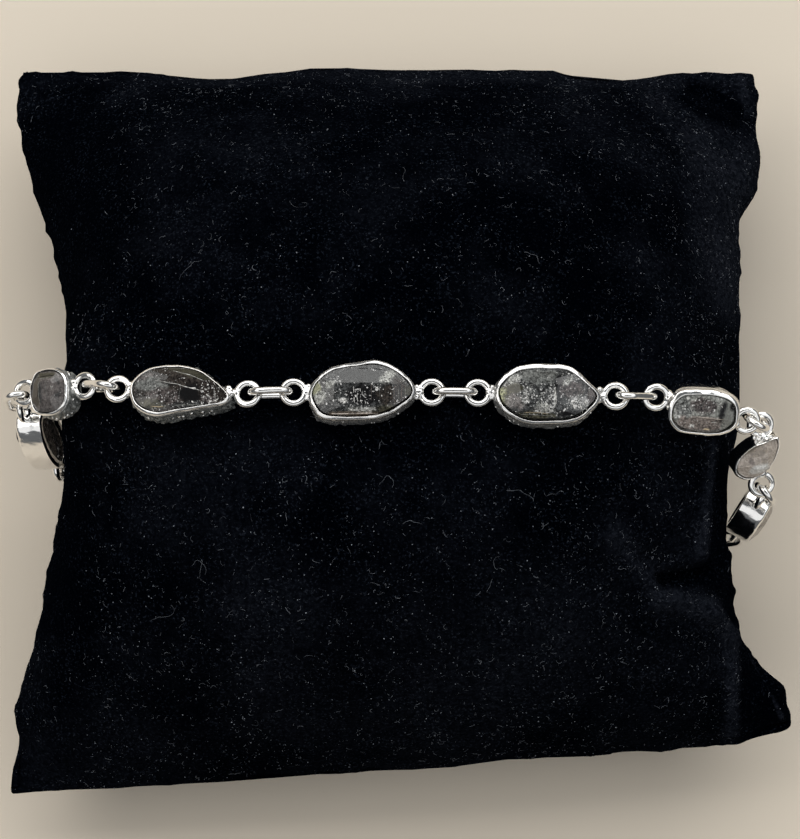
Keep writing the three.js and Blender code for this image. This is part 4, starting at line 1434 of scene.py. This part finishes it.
def level(face):
    """Whether a long hair can lie on a face: flat cloth, clear of the seams and of the bracelet."""
    x, y, _ = face.center / mm
    return face.normal.z > flat_enough and abs(x) < seam_x and channel_edge < abs(y - channel_y) < seam_y


def spot_on(a, b, c, d):
    """A random place on a four-sided face."""
    across = rng.random()
    return a.lerp(b, across).lerp(d.lerp(c, across), rng.random())


weights = [linty(face) for face in shown]
print(len(shown), "faces can hold lint,", sum(map(level, shown)), "of them long hairs")

# %% Specks and fibres
def speck(face, size):
    """A grain of fluff, an uneven eight-sided lump."""
    a, b, c = face[:3]
    centre = spot_on(*face)
    up = (b - a).cross(c - a).normalized() * size
    side = up.orthogonal().normalized() * size
    front = up.cross(side).normalized() * size
    ring = [centre + arm * rng.uniform(0.6, 1.4) for arm in (side, front, -side, -front)]
    upper = [(k, (k + 1) % 4, 4) for k in range(4)]
    lower = [((k + 1) % 4, k, 5) for k in range(4)]
    return [*ring, centre + up, centre - up], upper + lower


def fibre(face, length, width, joints=6, curled=0.4):
    """A curled hair that lies on the pile."""
    a, b, c = face[:3]
    up = (b - a).cross(c - a).normalized()
    heading = up.orthogonal().normalized()
    heading.rotate(Matrix.Rotation(rng.uniform(0, 2 * pi), 3, up))
    curl = rng.gauss(0, curled)
    place, rings = spot_on(*face) + up * width, []
    for _ in range(joints):
        across = up.cross(heading) * width / 2
        rings.append([place - across, place - up * width / 4, place + across, place + up * width / 2])
        place = place + heading * length / (joints - 1)
        heading.rotate(Matrix.Rotation(curl + rng.gauss(0, 0.3), 3, up))
    return skin(rings)


# %% Strew the lint
speck_count, fibre_count, stray_count = 6000, 3300, 14
grains = rng.choices(quads, weights, k=speck_count)
fluff = [speck(q, 0.024 + 0.06 * rng.random() ** 4) for q in grains]
hairs = rng.choices(quads, weights, k=fibre_count)
fibres = [fibre(q, 0.14 + 0.75 * rng.random() ** 3.5, rng.uniform(0.013, 0.03)) for q in hairs]
long_hairs = rng.choices(quads, [weight * level(f) for weight, f in zip(weights, shown)], k=stray_count)
strays = [fibre(q, rng.uniform(1.8, 3.6), 0.022, joints=20, curled=0.08) for q in long_hairs]
dark_lint, pale_lint = (0.035, 0.04, 0.052), (0.25, 0.27, 0.31)
lint_material, tree, shader = shader_of("lint", (0.5, 0.52, 0.56), 0.8)
lint_color = ramp(tree, noise_of(tree, 0.8, 2), (0.35, dark_lint), (0.65, pale_lint))
tree.links.new(lint_color, shader.inputs["Base Color"])
lint_mesh = mesh_of("lint", fluff + fibres + strays, lint_material)
lint_mesh.transform(Matrix.Scale(mm, 4))
lint = new_object("lint", lint_mesh)
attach(lint, "root")
print("lint of", len(lint_mesh.polygons), "faces")
